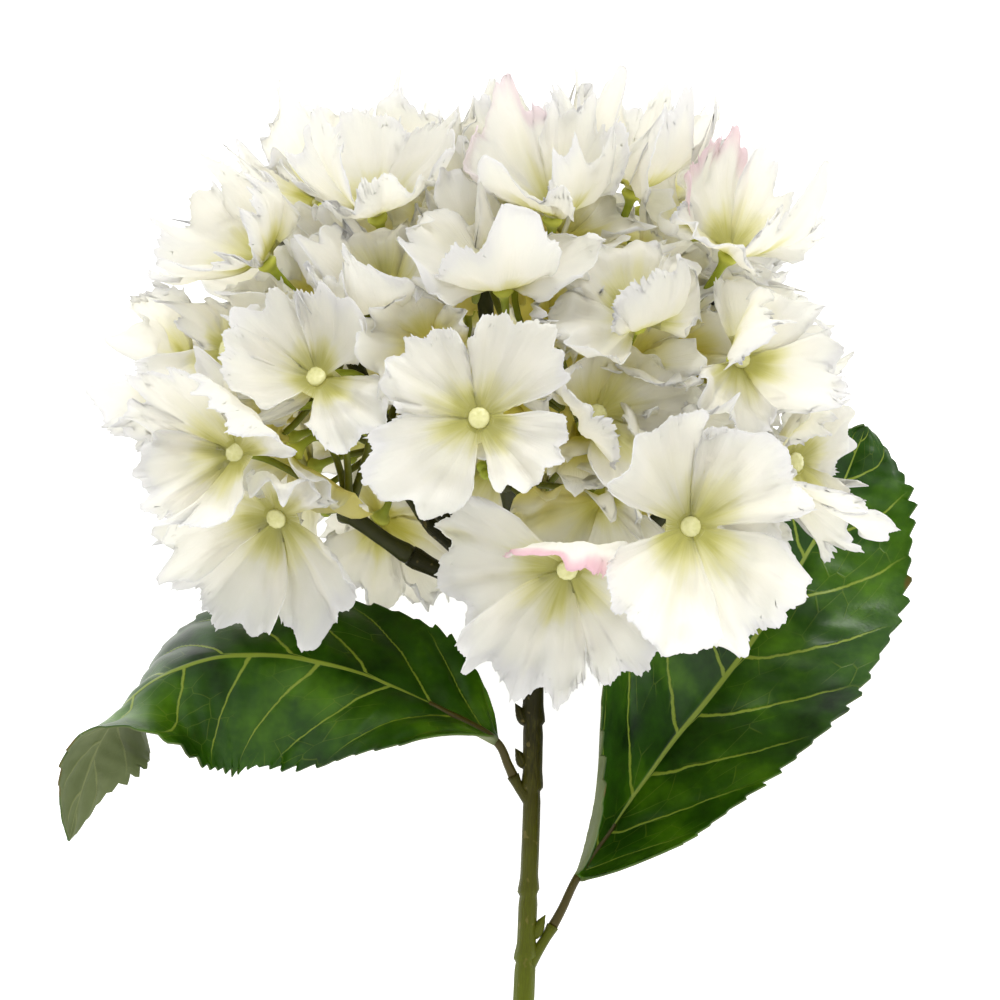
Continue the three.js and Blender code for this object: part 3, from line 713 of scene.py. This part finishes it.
def normals_of(points, faces):
    a, b, c = (points[faces[:, i]] for i in range(3))
    flat = np.cross(b - a, c - a)
    total = np.zeros_like(points)
    for i in range(3):
        np.add.at(total, faces[:, i], flat)
    return total / np.maximum(norm(total, axis=1, keepdims=True), 1e-9)


def shell(points, faces, thickness, marks):
    """A thin closed blade round a sheet, with what is marked on each point."""
    n = len(points)
    half = np.reshape(thickness, (-1, 1)) / 2 * normals_of(points, faces)
    edges = np.concatenate([faces[:, [0, 1]], faces[:, [1, 2]], faces[:, [2, 0]]])
    rim = edges[~np.isin(edges[:, 0] * n + edges[:, 1], edges[:, 1] * n + edges[:, 0])]
    p, q = rim[:, 0], rim[:, 1]
    sides = np.concatenate([np.stack([q, p, p + n], 1), np.stack([q, p + n, q + n], 1)])
    marks = {name: np.concatenate([values, values]) for name, values in marks.items()}
    marks["upper"] = np.concatenate([np.ones(n), np.zeros(n)])
    return dict(
        points=off_floor(np.concatenate([points + half, points - half])),
        faces=np.concatenate([faces, faces[:, [0, 2, 1]] + n, sides]),
        flat=np.concatenate([np.zeros(2 * len(faces), bool), np.ones(len(sides), bool)]),
        marks=marks,
    )


def capped(points, rows, columns, inside_out, marks):
    """A smooth closed part: rings of points, and then the middle of its first and of its last ring."""
    numbers = np.arange(rows * columns).reshape(rows, columns)
    sides = grid_faces(numbers, True)
    faces = np.concatenate([
        sides[:, ::-1] if inside_out else sides,
        fan_faces(numbers.size, numbers[0], inside_out),
        fan_faces(numbers.size + 1, numbers[-1], not inside_out),
    ])
    return dict(points=off_floor(points), faces=faces, flat=np.zeros(len(faces), bool), marks=marks)


def tube(places, radii, sides, **marks):
    """A closed round tube. Radii and marks are one number, or one for each place or each point."""
    places = np.asarray(places, float)

    def at_points(values):
        values = np.asarray(values, float)
        return np.broadcast_to(values[:, None] if values.ndim == 1 else values, (len(places), sides))

    ways = unit(np.gradient(places, axis=0))
    away = np.array([0.31, 0.87, 0.39])
    turn = turns_of(sides)
    rings = []
    for place, way, radius in zip(places, ways, at_points(radii)):
        away = unit(away - away.dot(way) * way)
        beside = np.cross(way, away)
        ring = np.outer(np.cos(turn), away) + np.outer(np.sin(turn), beside)
        rings.append(place + radius[:, None] * ring)
    spread = {name: at_points(values) for name, values in marks.items()}
    marks = {name: np.append(values, [values[0, 0], values[-1, 0]]) for name, values in spread.items()}
    points = np.concatenate([*rings, places[:1], places[-1:]])
    return capped(points, len(places), sides, True, marks)


def make_piece(name, parts, material, nodes):
    """One object of many closed parts, which stands for some CAD nodes and takes its finish from a slot."""
    starts = np.cumsum([0] + [len(p["points"]) for p in parts[:-1]])
    points = in_world(np.concatenate([p["points"] for p in parts]))
    faces = np.concatenate([p["faces"] + start for p, start in zip(parts, starts)]).astype(np.int32)
    mesh = bpy.data.meshes.new(name)
    mesh.vertices.add(len(points))
    mesh.vertices.foreach_set("co", points.astype(np.float32).ravel())
    mesh.loops.add(faces.size)
    mesh.loops.foreach_set("vertex_index", faces.ravel())
    mesh.polygons.add(len(faces))
    mesh.polygons.foreach_set("loop_start", np.arange(0, faces.size, 3, dtype=np.int32))
    mesh.polygons.foreach_set("use_smooth", ~np.concatenate([p["flat"] for p in parts]))
    for mark in parts[0]["marks"]:
        values = np.concatenate([p["marks"][mark] for p in parts]).astype(np.float32)
        mesh.attributes.new(mark, "FLOAT", "POINT").data.foreach_set("value", values)
    mesh.update(calc_edges=True)
    mesh.validate()
    mesh.materials.append(material)
    piece = bpy.data.objects.new(name, mesh)
    bpy.context.scene.collection.objects.link(piece)
    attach(piece, "root")
    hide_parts(*nodes)


def strip(near, far):
    """Triangles between two rows of point numbers, which may differ in length."""
    faces = []
    i = j = 0
    while i < len(near) - 1 or j < len(far) - 1:
        near_left, far_left = len(near) - 1 - i, len(far) - 1 - j
        if far_left == 0 or near_left * (len(far) - 1) > far_left * (len(near) - 1):
            faces.append((near[i], far[j], near[i + 1]))
            i += 1
        else:
            faces.append((near[i], far[j], far[j + 1]))
            j += 1
    return np.array(faces)


def petal_grid(grid):
    """For each row of points of a petal, its share of the way out and its shares to the side."""
    columns, rows, rim_columns, rim_rows = grid
    outs = [*(RIM * np.linspace(0, 1, rows + 1) ** 0.85), *np.linspace(RIM, 1, rim_rows + 1)[1:]]
    for number, out in enumerate(outs):
        a = np.linspace(-1, 1, (columns if number <= rows else rim_columns) + 1)
        yield np.full(len(a), out), a - 0.06 * np.sin(2 * np.pi * a) / np.pi


def rows_of(count, *values):
    return np.stack([np.broadcast_to(value, count) for value in values])


def floret_shell(floret):
    """The four petals in one blade, joined round the bead and parted by slits further out."""
    rows = list(petal_grid(floret["grid"]))
    r, a = (np.concatenate(values) for values in zip(*rows))
    ends = np.cumsum([0] + [len(row[0]) for row in rows])
    joined = 3 if floret["front"] else 2
    seed = floret["petals"][0]["seed"]
    points, marks, faces, sheets = [], [], [], []
    for k, petal in enumerate(floret["petals"]):
        wavy = petal["crease_phase"] + 2.2 * np.sin(3.3 * a + 2 * r)
        crease = petal["crease"] * np.sin(2 * np.pi * 7.3 * a + wavy)
        crease = crease * np.sin(np.pi * np.clip(r * 0.8 + 0.1, 0, 1))
        points.append(fine_petal(floret, k, r, a) + np.multiply.outer(crease, floret["face"]))
        # deep says how far inside the head a point lies; the petal finish uses it for painted bounce light
        # and shade: a creamy-yellow tint on petals in the recesses between florets
        deep = 1.15 - norm((points[-1] - HEAD_CENTRE) / HEAD_HALF, axis=1)
        marks.append(rows_of(len(r), r, a, petal["seed"], petal["pink"], deep))
        sheets.append([np.arange(start, end) + k * len(r) for start, end in zip(ends, ends[1:])])
        for near, far in zip(sheets[-1], sheets[-1][1:]):
            faces.append(grid_faces(np.stack([near, far])) if len(near) == len(far) else strip(near, far))
    for k, sheet in enumerate(sheets):
        beside = sheets[(k + 1) % PETALS]
        faces.append(grid_faces(np.array([[sheet[row][-1], beside[row][0]] for row in range(joined)])))
    ring = np.concatenate([sheet[0] for sheet in sheets])
    rim = np.concatenate(points)[ring]
    rise = sum(petal["rise"] for petal in floret["petals"]) / PETALS
    middle = floret["at"] + floret["face"] * 1.6 * math.sin(rise)
    points.append(middle + 0.5 * (rim - middle) - 0.2 * floret["face"])
    marks.append(rows_of(len(ring), -0.1, 0, seed, 0, 0.3))
    numbers = PETALS * len(r) + np.arange(len(ring))
    faces.append(grid_faces(np.stack([numbers, ring]), True))
    points.append(middle[None] - 0.3 * floret["face"])
    marks.append(rows_of(1, -0.2, 0, seed, 0, 0.3))
    faces.append(fan_faces(numbers[-1] + 1, numbers))
    marks = dict(zip(("out", "beside", "seed", "pink", "deep"), np.concatenate(marks, axis=1)))
    thickness = 0.32 - 0.14 * np.clip(marks["out"], 0, 1)
    return shell(np.concatenate(points), np.concatenate(faces), thickness, marks)


def ball(centre, axis, radius, length, sides, rows, bump=None, **marks):
    """A closed egg on an axis. bump gives what its radius gains at each turn and tilt."""
    tilt = np.linspace(0, np.pi, rows + 2)[1:-1]
    tt, kk = np.meshgrid(tilt, turns_of(sides), indexing="ij")
    more = bump(kk, tt) if bump else 0 * kk
    flat = (radius + more) * np.sin(tt)
    amounts = (flat * np.cos(kk), flat * np.sin(kk), (length + more) * np.cos(tt))
    rings = spanned(centre, (*axes_of(axis), axis), amounts)
    top = more[0].mean() + length
    points = np.concatenate([rings.reshape(-1, 3), [centre + top * axis], [centre - length * axis]])
    marks = {name: np.full(len(points), float(value)) for name, value in marks.items()}
    return capped(points, rows, sides, False, marks)


def bead_dots(turn, tilt):
    """Small raised dots in rings round the top of a bead."""
    total = 0 * turn
    for ring, (lean, dots) in enumerate([(0.0, 1), (0.55, 6), (1.05, 11)]):
        for k in range(dots):
            at = 2 * np.pi * (k + 0.4 * ring) / dots
            cos = np.cos(tilt) * math.cos(lean) + np.sin(tilt) * math.sin(lean) * np.cos(turn - at)
            total = total + 0.32 * np.exp(-((1 - cos) / 0.012))
    return total


def bead(floret):
    seed = floret["petals"][0]["seed"]
    middle = on_face(floret, 1.1)
    return ball(middle, floret["face"], BEAD_RADIUS, BEAD_HEIGHT, 26, 13, bead_dots, seed=seed)


# ---- Stalks


def on_face(floret, height):
    return floret["at"] + floret["face"] * height


def pedicel(floret, knot):
    """The stalk of a floret, with the green cup behind it."""
    foot = on_face(floret, -4)
    reach = norm(foot - knot)
    curve = bezier(knot, on_face(floret, -4 - 0.4 * reach), foot, np.linspace(0.02, 1, 10))
    cup = [on_face(floret, h) for h in (-3, -2.2, -1.6, -1.0, -0.5, 0.1)]
    radii = [1.2, 1.0, 0.85, 0.8, 0.8, 0.8, 0.8, 0.82, 0.88, 0.95, 1.15, 1.6, 2.1, 2.4, 2.3, 1.6]
    ripe = np.concatenate([np.linspace(1, 0.35, 10), [0.25, 0.2, 0.1, 0, 0, 0]])
    return tube([*curve, *cup], radii, 10, ripe=ripe)


def closed_buds(knot, random):
    """Small unopened buds on short stalks round a knot."""
    parts = []
    out = unit(knot - FORK)
    for _ in range(4):
        lean = np.array([random(-1, 1), random(-1, 1), random(-0.6, 1)])
        way = unit(0.7 * out + unit(lean))
        tip = knot + way * random(6, 9.5)
        curve = bezier(knot, knot + unit(way + 0.5 * out) * 4, tip, np.linspace(0, 1, 7))
        parts.append(tube(curve, [0.9, 0.7, 0.6, 0.6, 0.6, 0.65, 0.8], 7, ripe=np.linspace(1, 0.5, 7)))
        parts.append(ball(tip + way * 0.7, way, random(1.1, 1.5), random(1.4, 1.9), 10, 6, ripe=0.3))
    return parts


def branch_places(knot, low, high, count):
    way = knot - FORK
    elbow = FORK + way * np.array([0.6, 0.6, 0.3])
    return bezier(FORK, elbow, knot, np.linspace(low, high, count))


def knot_bumps(turn, tilt):
    return 0.35 * np.sin(3 * turn + 1) * np.sin(tilt) + 0.25 * np.sin(5 * turn + 4 * tilt)


def stalk_parts(name, florets, random):
    knot = np.array(SPRAYS[name], float)
    outer = branch_places(knot, BRANCH_JOINT + 0.008, 1, 14)
    radii = [2.25, 2.3, 2.1, 1.95, 1.85, 1.8, 1.8, 1.8, 1.8, 1.85, 1.95, 2.1, 2.3, 2.4]
    return [
        tube(outer, radii, 14, ripe=1.4),
        ball(knot, unit(knot - FORK), 2.7, 2.5, 16, 9, knot_bumps, ripe=1.2),
        *[pedicel(floret, knot) for floret in florets],
        *closed_buds(knot, random),
    ]


# ---- Stem


def sway(z):
    return np.where(z < 0, -0.0007 * z * z / (1 - np.minimum(z, 0) / 100), 0)


def stem_tube(places, radii, sides, height):
    return tube(places, radii, sides, height=height, around=turns_of(sides)[None])


def main_stem():
    """The stem with its grooves and the raised, slanting joints."""
    turn = turns_of(STEM_SIDES)
    z = np.concatenate([np.linspace(-STEM_LENGTH, 8, 250), np.linspace(9, 23.5, 16)])
    swell = np.interp(
        z, [-STEM_LENGTH, -150, -63, -59, -48, -45, -24, -20, 8, 16, 20, 23.5],
        [0, 0, -0.2, -0.5, -0.45, -0.6, -0.65, -0.4, -0.2, 0.7, 1.2, -0.1],
    )
    radii = STEM_RADIUS - 0.05 + swell[:, None] + 0.07 * np.sin(3 * turn + 0.05 * z[:, None])
    radii = radii + 0.05 * np.sin(7 * turn + 0.09 * z[:, None])
    for k, ring in enumerate(STEM_RINGS):
        lift = z[:, None] - ring - 0.35 * np.sin(turn + k)
        radii = radii + 0.42 * smooth(-0.25, 0.1, lift) * smooth(4.5, 0.2, lift)
        radii = radii - 0.2 * smooth(-3.2, -0.4, lift) * smooth(0.2, -0.3, lift)
    return stem_tube(np.stack([sway(z), 0 * z, z], axis=1), radii, STEM_SIDES, z)


def branch(knot):
    """The inner part of one of the head's branches."""
    radii = [2.4, 2.3, 2.2, 2.1, 2.05, 2, 1.95, *[1.9] * 5, 1.95, 2, 2.1, 2.3, 2.55, 2.45]
    places = branch_places(np.array(knot, float), 0, BRANCH_JOINT, 18)
    return stem_tube(places, radii, 14, np.linspace(24, 34, 18))


def petiole_place(leaf, t):
    return catmull_rom([*leaf["petiole"], *leaf["midrib"][:2]], t)


def socket(leaf):
    """The foot of a leaf's stalk."""
    places = [petiole_place(leaf, t) for t in np.linspace(0, PETIOLE_JOINT, 8)]
    return stem_tube(places, [1.9, 1.7, 1.5, 1.35, 1.25, 1.2, 1.3, 1.5], 14, [place[2] for place in places])


def bud(height, turn, length):
    """A small pointed bud in the angle of a leaf."""
    turn = math.radians(turn)
    out = np.array([math.cos(turn), math.sin(turn), 0])
    root = np.array([float(sway(np.float64(height))), 0, height]) + out * (STEM_RADIUS - 0.6)
    way = unit(0.42 * out + np.array([0, 0, 1.0]))
    places = [root + way * length * s + out * 0.5 * s * s for s in np.linspace(-0.25, 0.85, 12)]
    return stem_tube(places, [0.5, 1.0, 1.25, 1.4, 1.42, 1.35, 1.3, 1.05, 0.9, 0.6, 0.35, 0.08], 12, height)


def stem_parts():
    return [
        main_stem(),
        *[branch(knot) for knot in SPRAYS.values()],
        *[socket(leaf) for leaf in LEAVES.values()],
        *[bud(*values) for values in BUDS],
    ]


# ---- Leaves


def half_row(leaf, share, side, own):
    """Points across half a leaf, at shares of its width, and what is marked on them."""
    ends = min(1, 8 * share * (1 - share))
    x = LEAF_TEETH * share**0.95 + 0.3 * math.sin(9 * share + side)
    saw = x - math.floor(x)
    tooth = (saw / 0.75 if saw < 0.75 else (1 - saw) / 0.25) * (0.8 + 0.4 * math.sin(5.1 * math.floor(x)))
    width = leaf_width(leaf, share, side) + 0.6 * ends
    width += leaf["fuller"][side > 0] * math.sin(math.pi * min(1, share / 0.65))
    pointed = 1.9 * tooth * ends * smooth(0.88, 1, own)
    rib = LEAF_RIBS * (share - 0.2 * own**1.2 * (1 - 0.35 * share)) + (0.35 if side > 0 else 0)
    puff = np.abs(np.sin(np.pi * rib)) ** 0.8 - 0.5
    room = min(1, width / 14)
    up = 1.3 * puff * room * np.sin(np.pi * np.clip(own, 0, 0.95)) ** 0.6
    up = up + 0.25 * np.sin(2 * np.pi * (rib * 2.7 + 3 * own)) * room * own * (1 - own) * 2
    up = up - 0.9 * np.exp(-((own * width / 1.6) ** 2)) * ends
    points = leaf_place(leaf, share, side, own + pointed / max(width, 1), width, up, 0.5 * pointed)
    swell = np.exp(-((own * width / 1.5) ** 2))
    return points, rows_of(len(own), share, side * own, rib, swell)


def leaf_parts(leaf):
    t = 1 - (1 - np.linspace(0, 1, LEAF_COLUMNS + 1)) ** 1.25
    shares = np.linspace(0.004, 0.997, LEAF_ROWS + 1)
    sides = ((-1, t[:0:-1]), (1, t))
    halves = [half_row(leaf, share, side, own) for share in shares for side, own in sides]
    points = np.concatenate([half[0] for half in halves])
    along, across, rib, swell = np.concatenate([half[1] for half in halves], axis=1)
    numbers = np.arange(len(points)).reshape(len(shares), -1)
    thickness = 0.5 + swell * lerp(1.5, 0.1, along)
    marks = dict(along=along, across=across, rib=rib, stalk=np.zeros(len(points)))
    curve = [petiole_place(leaf, x) for x in np.linspace(PETIOLE_JOINT + PETIOLE_GAP, 1, 26)]
    radii = np.interp(np.linspace(0, 1, 26), [0, 0.25, 0.5, 0.75, 1], [1.2, 1.05, 1.0, 1.0, 0.7])
    return [
        shell(points, grid_faces(numbers), thickness, marks),
        tube(curve, radii, 14, along=0, across=0, rib=0.5, stalk=1, upper=1),
    ]


# ---- Materials


class Graph:
    """A material's nodes, added and joined by short calls."""

    def __init__(self, name):
        self.material = bpy.data.materials.new(name)
        self.material.use_nodes = True
        self.tree = self.material.node_tree
        self.tree.nodes.clear()
        self.here = self.add("TexCoord", output=3)

    def add(self, kind, *values, output=0, **settings):
        node = self.tree.nodes.new("ShaderNode" + kind)
        named = settings.pop("inputs", {})
        for key, value in settings.items():
            setattr(node, key, value)
        for key, value in [*enumerate(values), *named.items()]:
            if isinstance(value, bpy.types.NodeSocket):
                self.tree.links.new(value, node.inputs[key])
            else:
                node.inputs[key].default_value = value
        return node.outputs[output] if node.outputs else node

    def mark(self, name):
        return self.add("Attribute", attribute_name=name, output=2)

    def math(self, operation, a, b=0.0, c=0.0):
        return self.add("Math", a, b, c, operation=operation)

    def times(self, a, b):
        return self.math("MULTIPLY", a, b)

    def times_plus(self, a, b, c):
        return self.math("MULTIPLY_ADD", a, b, c)

    def less(self, a, b):
        return self.math("SUBTRACT", a, b)
    def step(self, low, high, x):
        """0 below low, 1 above high, and smooth between. low may be the larger."""
        return self.add("MapRange", x, low, high, 0.0, 1.0, interpolation_type="SMOOTHSTEP")

    def vector(self, x=0.0, y=0.0, z=0.0):
        return self.add("CombineXYZ", x, y, z)

    def noise(self, vector, scale, detail=2.0, roughness=0.5):
        inputs = {"Vector": vector, "Scale": scale, "Detail": detail, "Roughness": roughness}
        return self.add("TexNoise", inputs=inputs)

    def ramp(self, x, stops):
        node = self.tree.nodes.new("ShaderNodeValToRGB")
        elements = node.color_ramp.elements
        while len(elements) < len(stops):
            elements.new(0.5)
        for element, (place, colour) in zip(elements, stops):
            element.position = place
            element.color = (*colour, 1)
        self.tree.links.new(x, node.inputs[0])
        return node.outputs[0]

    def mix(self, share, a, b, blend="MIX"):
        node = self.tree.nodes.new("ShaderNodeMix")
        node.data_type = "RGBA"
        node.blend_type = blend
        for socket, value in ((node.inputs[0], share), (node.inputs[6], a), (node.inputs[7], b)):
            if isinstance(value, bpy.types.NodeSocket):
                self.tree.links.new(value, socket)
            else:
                socket.default_value = (*value, 1) if isinstance(value, tuple) else value
        return node.outputs[2]

    def bump(self, height, strength, depth, normal=None):
        inputs = {"Height": height, "Strength": strength, "Distance": depth}
        if normal:
            inputs["Normal"] = normal
        return self.add("Bump", inputs=inputs)

    def surface(self, colour, normal, roughness, specular=0.5, through=None, share=0.0, **others):
        """The finish. Where light comes through, its colour and the share of it are given too."""
        inputs = {"Base Color": colour, "Normal": normal, "Roughness": roughness}
        inputs["Specular IOR Level"] = specular
        shader = self.add("BsdfPrincipled", inputs={**inputs, **others})
        if through:
            light = self.add("BsdfTranslucent", inputs={"Color": through, "Normal": normal})
            shader = self.add("MixShader", share, shader, light)
        self.add("OutputMaterial", shader)
        return self.material


def linear(*screen):
    """A colour for a surface from the 0 to 255 of a screen."""
    return tuple(((c / 255 + 0.055) / 1.055) ** 2.4 if c > 10 else c / 255 / 12.92 for c in screen)


def petal_material():
    g = Graph("petal")
    out, beside, seed = g.mark("out"), g.mark("beside"), g.mark("seed")

    def stretched(across, outward):
        return g.vector(g.times(beside, across), g.times(out, outward), seed)

    streak = g.noise(stretched(9, 0.9), 1.0, 3.0, 0.6)
    blotch = g.noise(stretched(1.1, 1.4), 1.0, 1.0)
    way = g.times_plus(blotch, 0.6, g.times_plus(streak, 0.22, out))
    colour = g.ramp(g.less(way, 0.4), [
        (0.0, linear(214, 212, 140)),
        (0.1, linear(222, 220, 158)),
        (0.22, linear(239, 237, 203)),
        (0.4, linear(248, 247, 240)),
        (0.62, linear(250, 249, 247)),
        (0.85, linear(246, 246, 245)),
        (1.0, linear(240, 240, 243)),
    ])
    # Painted bounce light and shade: the deeper a petal lies inside the head, the more it is tinted creamy
    # yellow, in place of the warm light that bounces between petals in the recesses
    colour = g.mix(g.times(g.step(0.17, 0.38, g.mark("deep")), 0.92), colour, linear(245, 238, 150))
    edge = g.step(0.8, 1.02, g.times_plus(g.less(blotch, 0.5), 0.6, out))
    colour = g.mix(g.times(edge, g.mark("pink")), colour, linear(236, 150, 176))
    through = g.mix(1.0, colour, linear(253, 252, 246), "MULTIPLY")
    fine = g.noise(stretched(30, 1.6), 1.0, 2.0, 0.6)
    weave = g.noise(g.here, 1400.0, 1.0)
    normal = g.bump(streak, 0.22, 0.0007)
    normal = g.bump(fine, 0.3, 0.0004, normal)
    normal = g.bump(weave, 0.12, 0.0002, normal)
    return g.surface(colour, normal, g.times_plus(weave, 0.2, 0.6), 0.25, through, 0.68)


def bead_material():
    g = Graph("bead")
    cloud = g.noise(g.here, 700.0)
    colour = g.ramp(cloud, [(0.3, linear(200, 198, 132)), (0.7, linear(216, 213, 156))])
    normal = g.bump(g.noise(g.here, 2600.0), 0.25, 0.0002)
    return g.surface(colour, normal, 0.34, **{"Coat Weight": 0.15})


def stalk_material():
    g = Graph("stalk")
    ripe = g.times_plus(g.less(g.noise(g.here, 260.0, 3.0), 0.5), 0.25, g.mark("ripe"))
    colour = g.ramp(g.times(ripe, 0.7), [
        (0.0, linear(196, 200, 84)),
        (0.25, linear(140, 152, 44)),
        (0.55, linear(92, 96, 26)),
        (0.8, linear(58, 60, 16)),
        (1.0, linear(44, 46, 10)),
    ])
    return g.surface(colour, g.bump(g.noise(g.here, 900.0, 3.0), 0.3, 0.0003), 0.45, 0.22)


def stem_material():
    g = Graph("stem")
    height, around = g.mark("height"), g.mark("around")
    ring = g.vector(g.add("Math", around, operation="SINE"), g.add("Math", around, operation="COSINE"))
    stretched = g.vector(0.0, 0.0, g.times(height, 0.05))
    fibre = g.noise(g.add("VectorMath", ring, stretched, operation="ADD"), 6.0, 3.0, 0.65)
    way = g.times_plus(g.less(fibre, 0.5), 46.0, height)
    colour = g.ramp(g.add("MapRange", way, 34.0, -100.0, 0.0, 1.0), [
        (0.0, linear(30, 30, 2)),
        (0.3, linear(34, 32, 0)),
        (0.42, linear(58, 56, 2)),
        (0.62, linear(72, 76, 2)),
        (0.8, linear(84, 94, 6)),
        (1.0, linear(96, 106, 16)),
    ])
    cut = g.step(0.4 - STEM_LENGTH, 0.05 - STEM_LENGTH, height)
    colour = g.mix(cut, colour, linear(188, 190, 130))
    speck = g.step(0.66, 0.74, g.noise(g.here, 420.0, 1.0))
    colour = g.mix(g.times(speck, 0.35), colour, linear(126, 112, 60))
    normal = g.bump(fibre, 0.4, 0.0006)
    normal = g.bump(g.noise(g.here, 1500.0), 0.2, 0.0002, normal)
    return g.surface(colour, normal, g.times_plus(fibre, 0.2, 0.3), 0.16)


def leaf_material():
    g = Graph("leaf")
    across, rib, upper = g.mark("across"), g.mark("rib"), g.mark("upper")
    out = g.math("ABSOLUTE", across)
    wobble = g.less(g.noise(g.here, 150.0, 4.0, 0.6), 0.5)
    wobbled = g.times_plus(wobble, 0.16, rib)
    beat = g.math("ABSOLUTE", g.less(g.math("FRACT", g.math("ADD", wobbled, 0.5)), 0.5))
    side_vein = g.step(0.044, 0.018, g.times_plus(out, 0.016, beat))
    side_vein = g.times(side_vein, g.step(1.0, 0.72, out))
    midrib = g.step(0.03, 0.016, out)
    between = {"Vector": g.vector(g.times(rib, 1.9), g.times(across, 5.0)), "Scale": 1.0}
    cells = g.add("TexVoronoi", feature="DISTANCE_TO_EDGE", voronoi_dimensions="2D", inputs=between)
    net = g.step(0.026, 0.008, g.times_plus(wobble, 0.05, cells))
    net = g.times(net, g.step(0.45, 0.6, g.noise(g.here, 60.0, 1.0)))
    vein = g.math("MAXIMUM", g.math("MAXIMUM", side_vein, midrib), g.times(net, 0.22))
    shade = g.noise(g.here, 55.0, 4.0, 0.6)
    green = g.ramp(shade, [(0.28, linear(8, 34, 0)), (0.5, linear(36, 74, 0)), (0.72, linear(74, 116, 6))])
    green = g.mix(vein, green, linear(132, 150, 52))
    brown = g.step(0.79, 0.82, g.times_plus(out, 0.16, g.noise(g.here, 38.0, 3.0, 0.55)))
    green = g.mix(g.times(brown, 0.8), green, linear(104, 66, 22))
    under = g.ramp(shade, [(0.3, linear(84, 96, 52)), (0.7, linear(112, 122, 78))])
    under = g.mix(g.times(vein, 0.5), under, linear(140, 146, 92))
    colour = g.mix(g.mark("stalk"), g.mix(upper, under, green), linear(70, 62, 18))
    normal = g.bump(g.times_plus(vein, 0.5, g.times(shade, 0.3)), 0.45, 0.0006)
    normal = g.bump(g.noise(g.here, 1300.0), 0.15, 0.0002, normal)
    through = g.mix(1.0, colour, linear(220, 240, 120), "MULTIPLY")
    return g.surface(colour, normal, g.times_plus(upper, -0.26, 0.58), 0.26, through, 0.12)


def floor_material():
    g = Graph("floor")
    grain = g.noise(g.here, 300.0)
    colour = g.ramp(grain, [(0.0, (0.9, 0.9, 0.9)), (1.0, (0.94, 0.94, 0.94))])
    glow = {"Emission Color": (1, 1, 1, 1), "Emission Strength": 0.6}
    return g.surface(colour, g.bump(grain, 0.02, 0.0001), 0.8, **glow)


# ---- The flower

petal_look, bead_look, stalk_look = petal_material(), bead_material(), stalk_material()
stem_look, leaf_look = stem_material(), leaf_material()

florets, inner_florets = all_florets()
fine = random_from(FINE_SEED)
for number, floret in enumerate(florets + inner_florets):
    for k, petal in enumerate(floret["petals"]):
        petal.update(details_of(fine, number < CALM_FLORETS))
        petal["curl"] = CURLED_OVER.get((number, k), petal["curl"])
        petal["pink"] = PINK_EDGED.get((number, k), 0.0)
    for k, petal in enumerate(floret["petals"]):
        if "back" not in floret["spray"]:
            petal["reach"] *= float(np.interp(spread_left(floret, k), WIDTHS_LEFT, LENGTHS_LEFT))
        petal["reach"] *= CUT_SHORTER.get((number, k), 1.0)

for name in SPRAYS:
    outer = [f for f in florets if f["spray"] == name]
    own = outer + [f for f in inner_florets if f["spray"] == name]
    short = name.replace("spray_", "")
    make_piece("petals_" + short, [floret_shell(f) for f in own], petal_look, [name])
    make_piece("beads_" + short, [bead(f) for f in outer], bead_look, [name])
    make_piece("stalks_" + short, stalk_parts(name, own, fine), stalk_look, [name])

make_piece("stem_fine", stem_parts(), stem_look, ["stem"])
for name, leaf in LEAVES.items():
    make_piece(name + "_fine", leaf_parts(leaf), leaf_look, [name])

# ---- Floor, light and camera. Places in metres, turns in degrees.

FLOOR_SIZE = 12
AIM = in_world(np.array([[-7.6, 0, 43.7]]))[0]
# name, azimuth, elevation, distance, size, power
LAMPS = [("key", 172, 50, 1.6, 0.2, 9), ("fill", -30, 60, 1.8, 1.4, 0.5)]
SKY_STRENGTH = 1.2
CAMERA_ELEVATION = 75
CAMERA_DISTANCE = 0.863
CAMERA_LENS = 135
CAMERA_SENSOR = 36
CAMERA_SEES = 20

bpy.ops.mesh.primitive_plane_add(size=FLOOR_SIZE)
floor = bpy.context.object
floor.name = "floor"
floor.data.materials.append(floor_material())
scene = bpy.context.scene


def looking(azimuth, elevation, distance):
    """A place round the flower from which to look at it, and the way from the flower to it."""
    a, e = math.radians(azimuth), math.radians(elevation)
    way = np.array([math.sin(a) * math.cos(e), -math.cos(a) * math.cos(e), math.sin(e)])
    return AIM + distance * way, way


def lamp(name, azimuth, elevation, distance, size, power):
    light = bpy.data.lights.new(name, "AREA")
    light.shape = "DISK"
    light.size = size
    light.energy = power
    holder = bpy.data.objects.new(name, light)
    holder.location, way = looking(azimuth, elevation, distance)
    holder.rotation_mode = "QUATERNION"
    holder.rotation_quaternion = Vector(way).to_track_quat("Z", "Y")
    scene.collection.objects.link(holder)


for values in LAMPS:
    lamp(*values)

world = bpy.data.worlds.new("studio")
world.use_nodes = True
sky = world.node_tree.nodes["Background"]
sky.inputs[0].default_value = (1, 1, 1, 1)
sky.inputs[1].default_value = SKY_STRENGTH
scene.world = world

camera = bpy.data.objects.new("camera", bpy.data.cameras.new("camera"))
camera.data.lens = CAMERA_LENS
camera.data.sensor_width = CAMERA_SENSOR
camera.data.clip_end = CAMERA_SEES
camera.location = looking(0, CAMERA_ELEVATION, CAMERA_DISTANCE)[0]
camera.rotation_euler = (math.radians(90 - CAMERA_ELEVATION), 0, 0)
scene.collection.objects.link(camera)
scene.camera = camera
scene.view_settings.view_transform = "Standard"
scene.view_settings.look = "None"
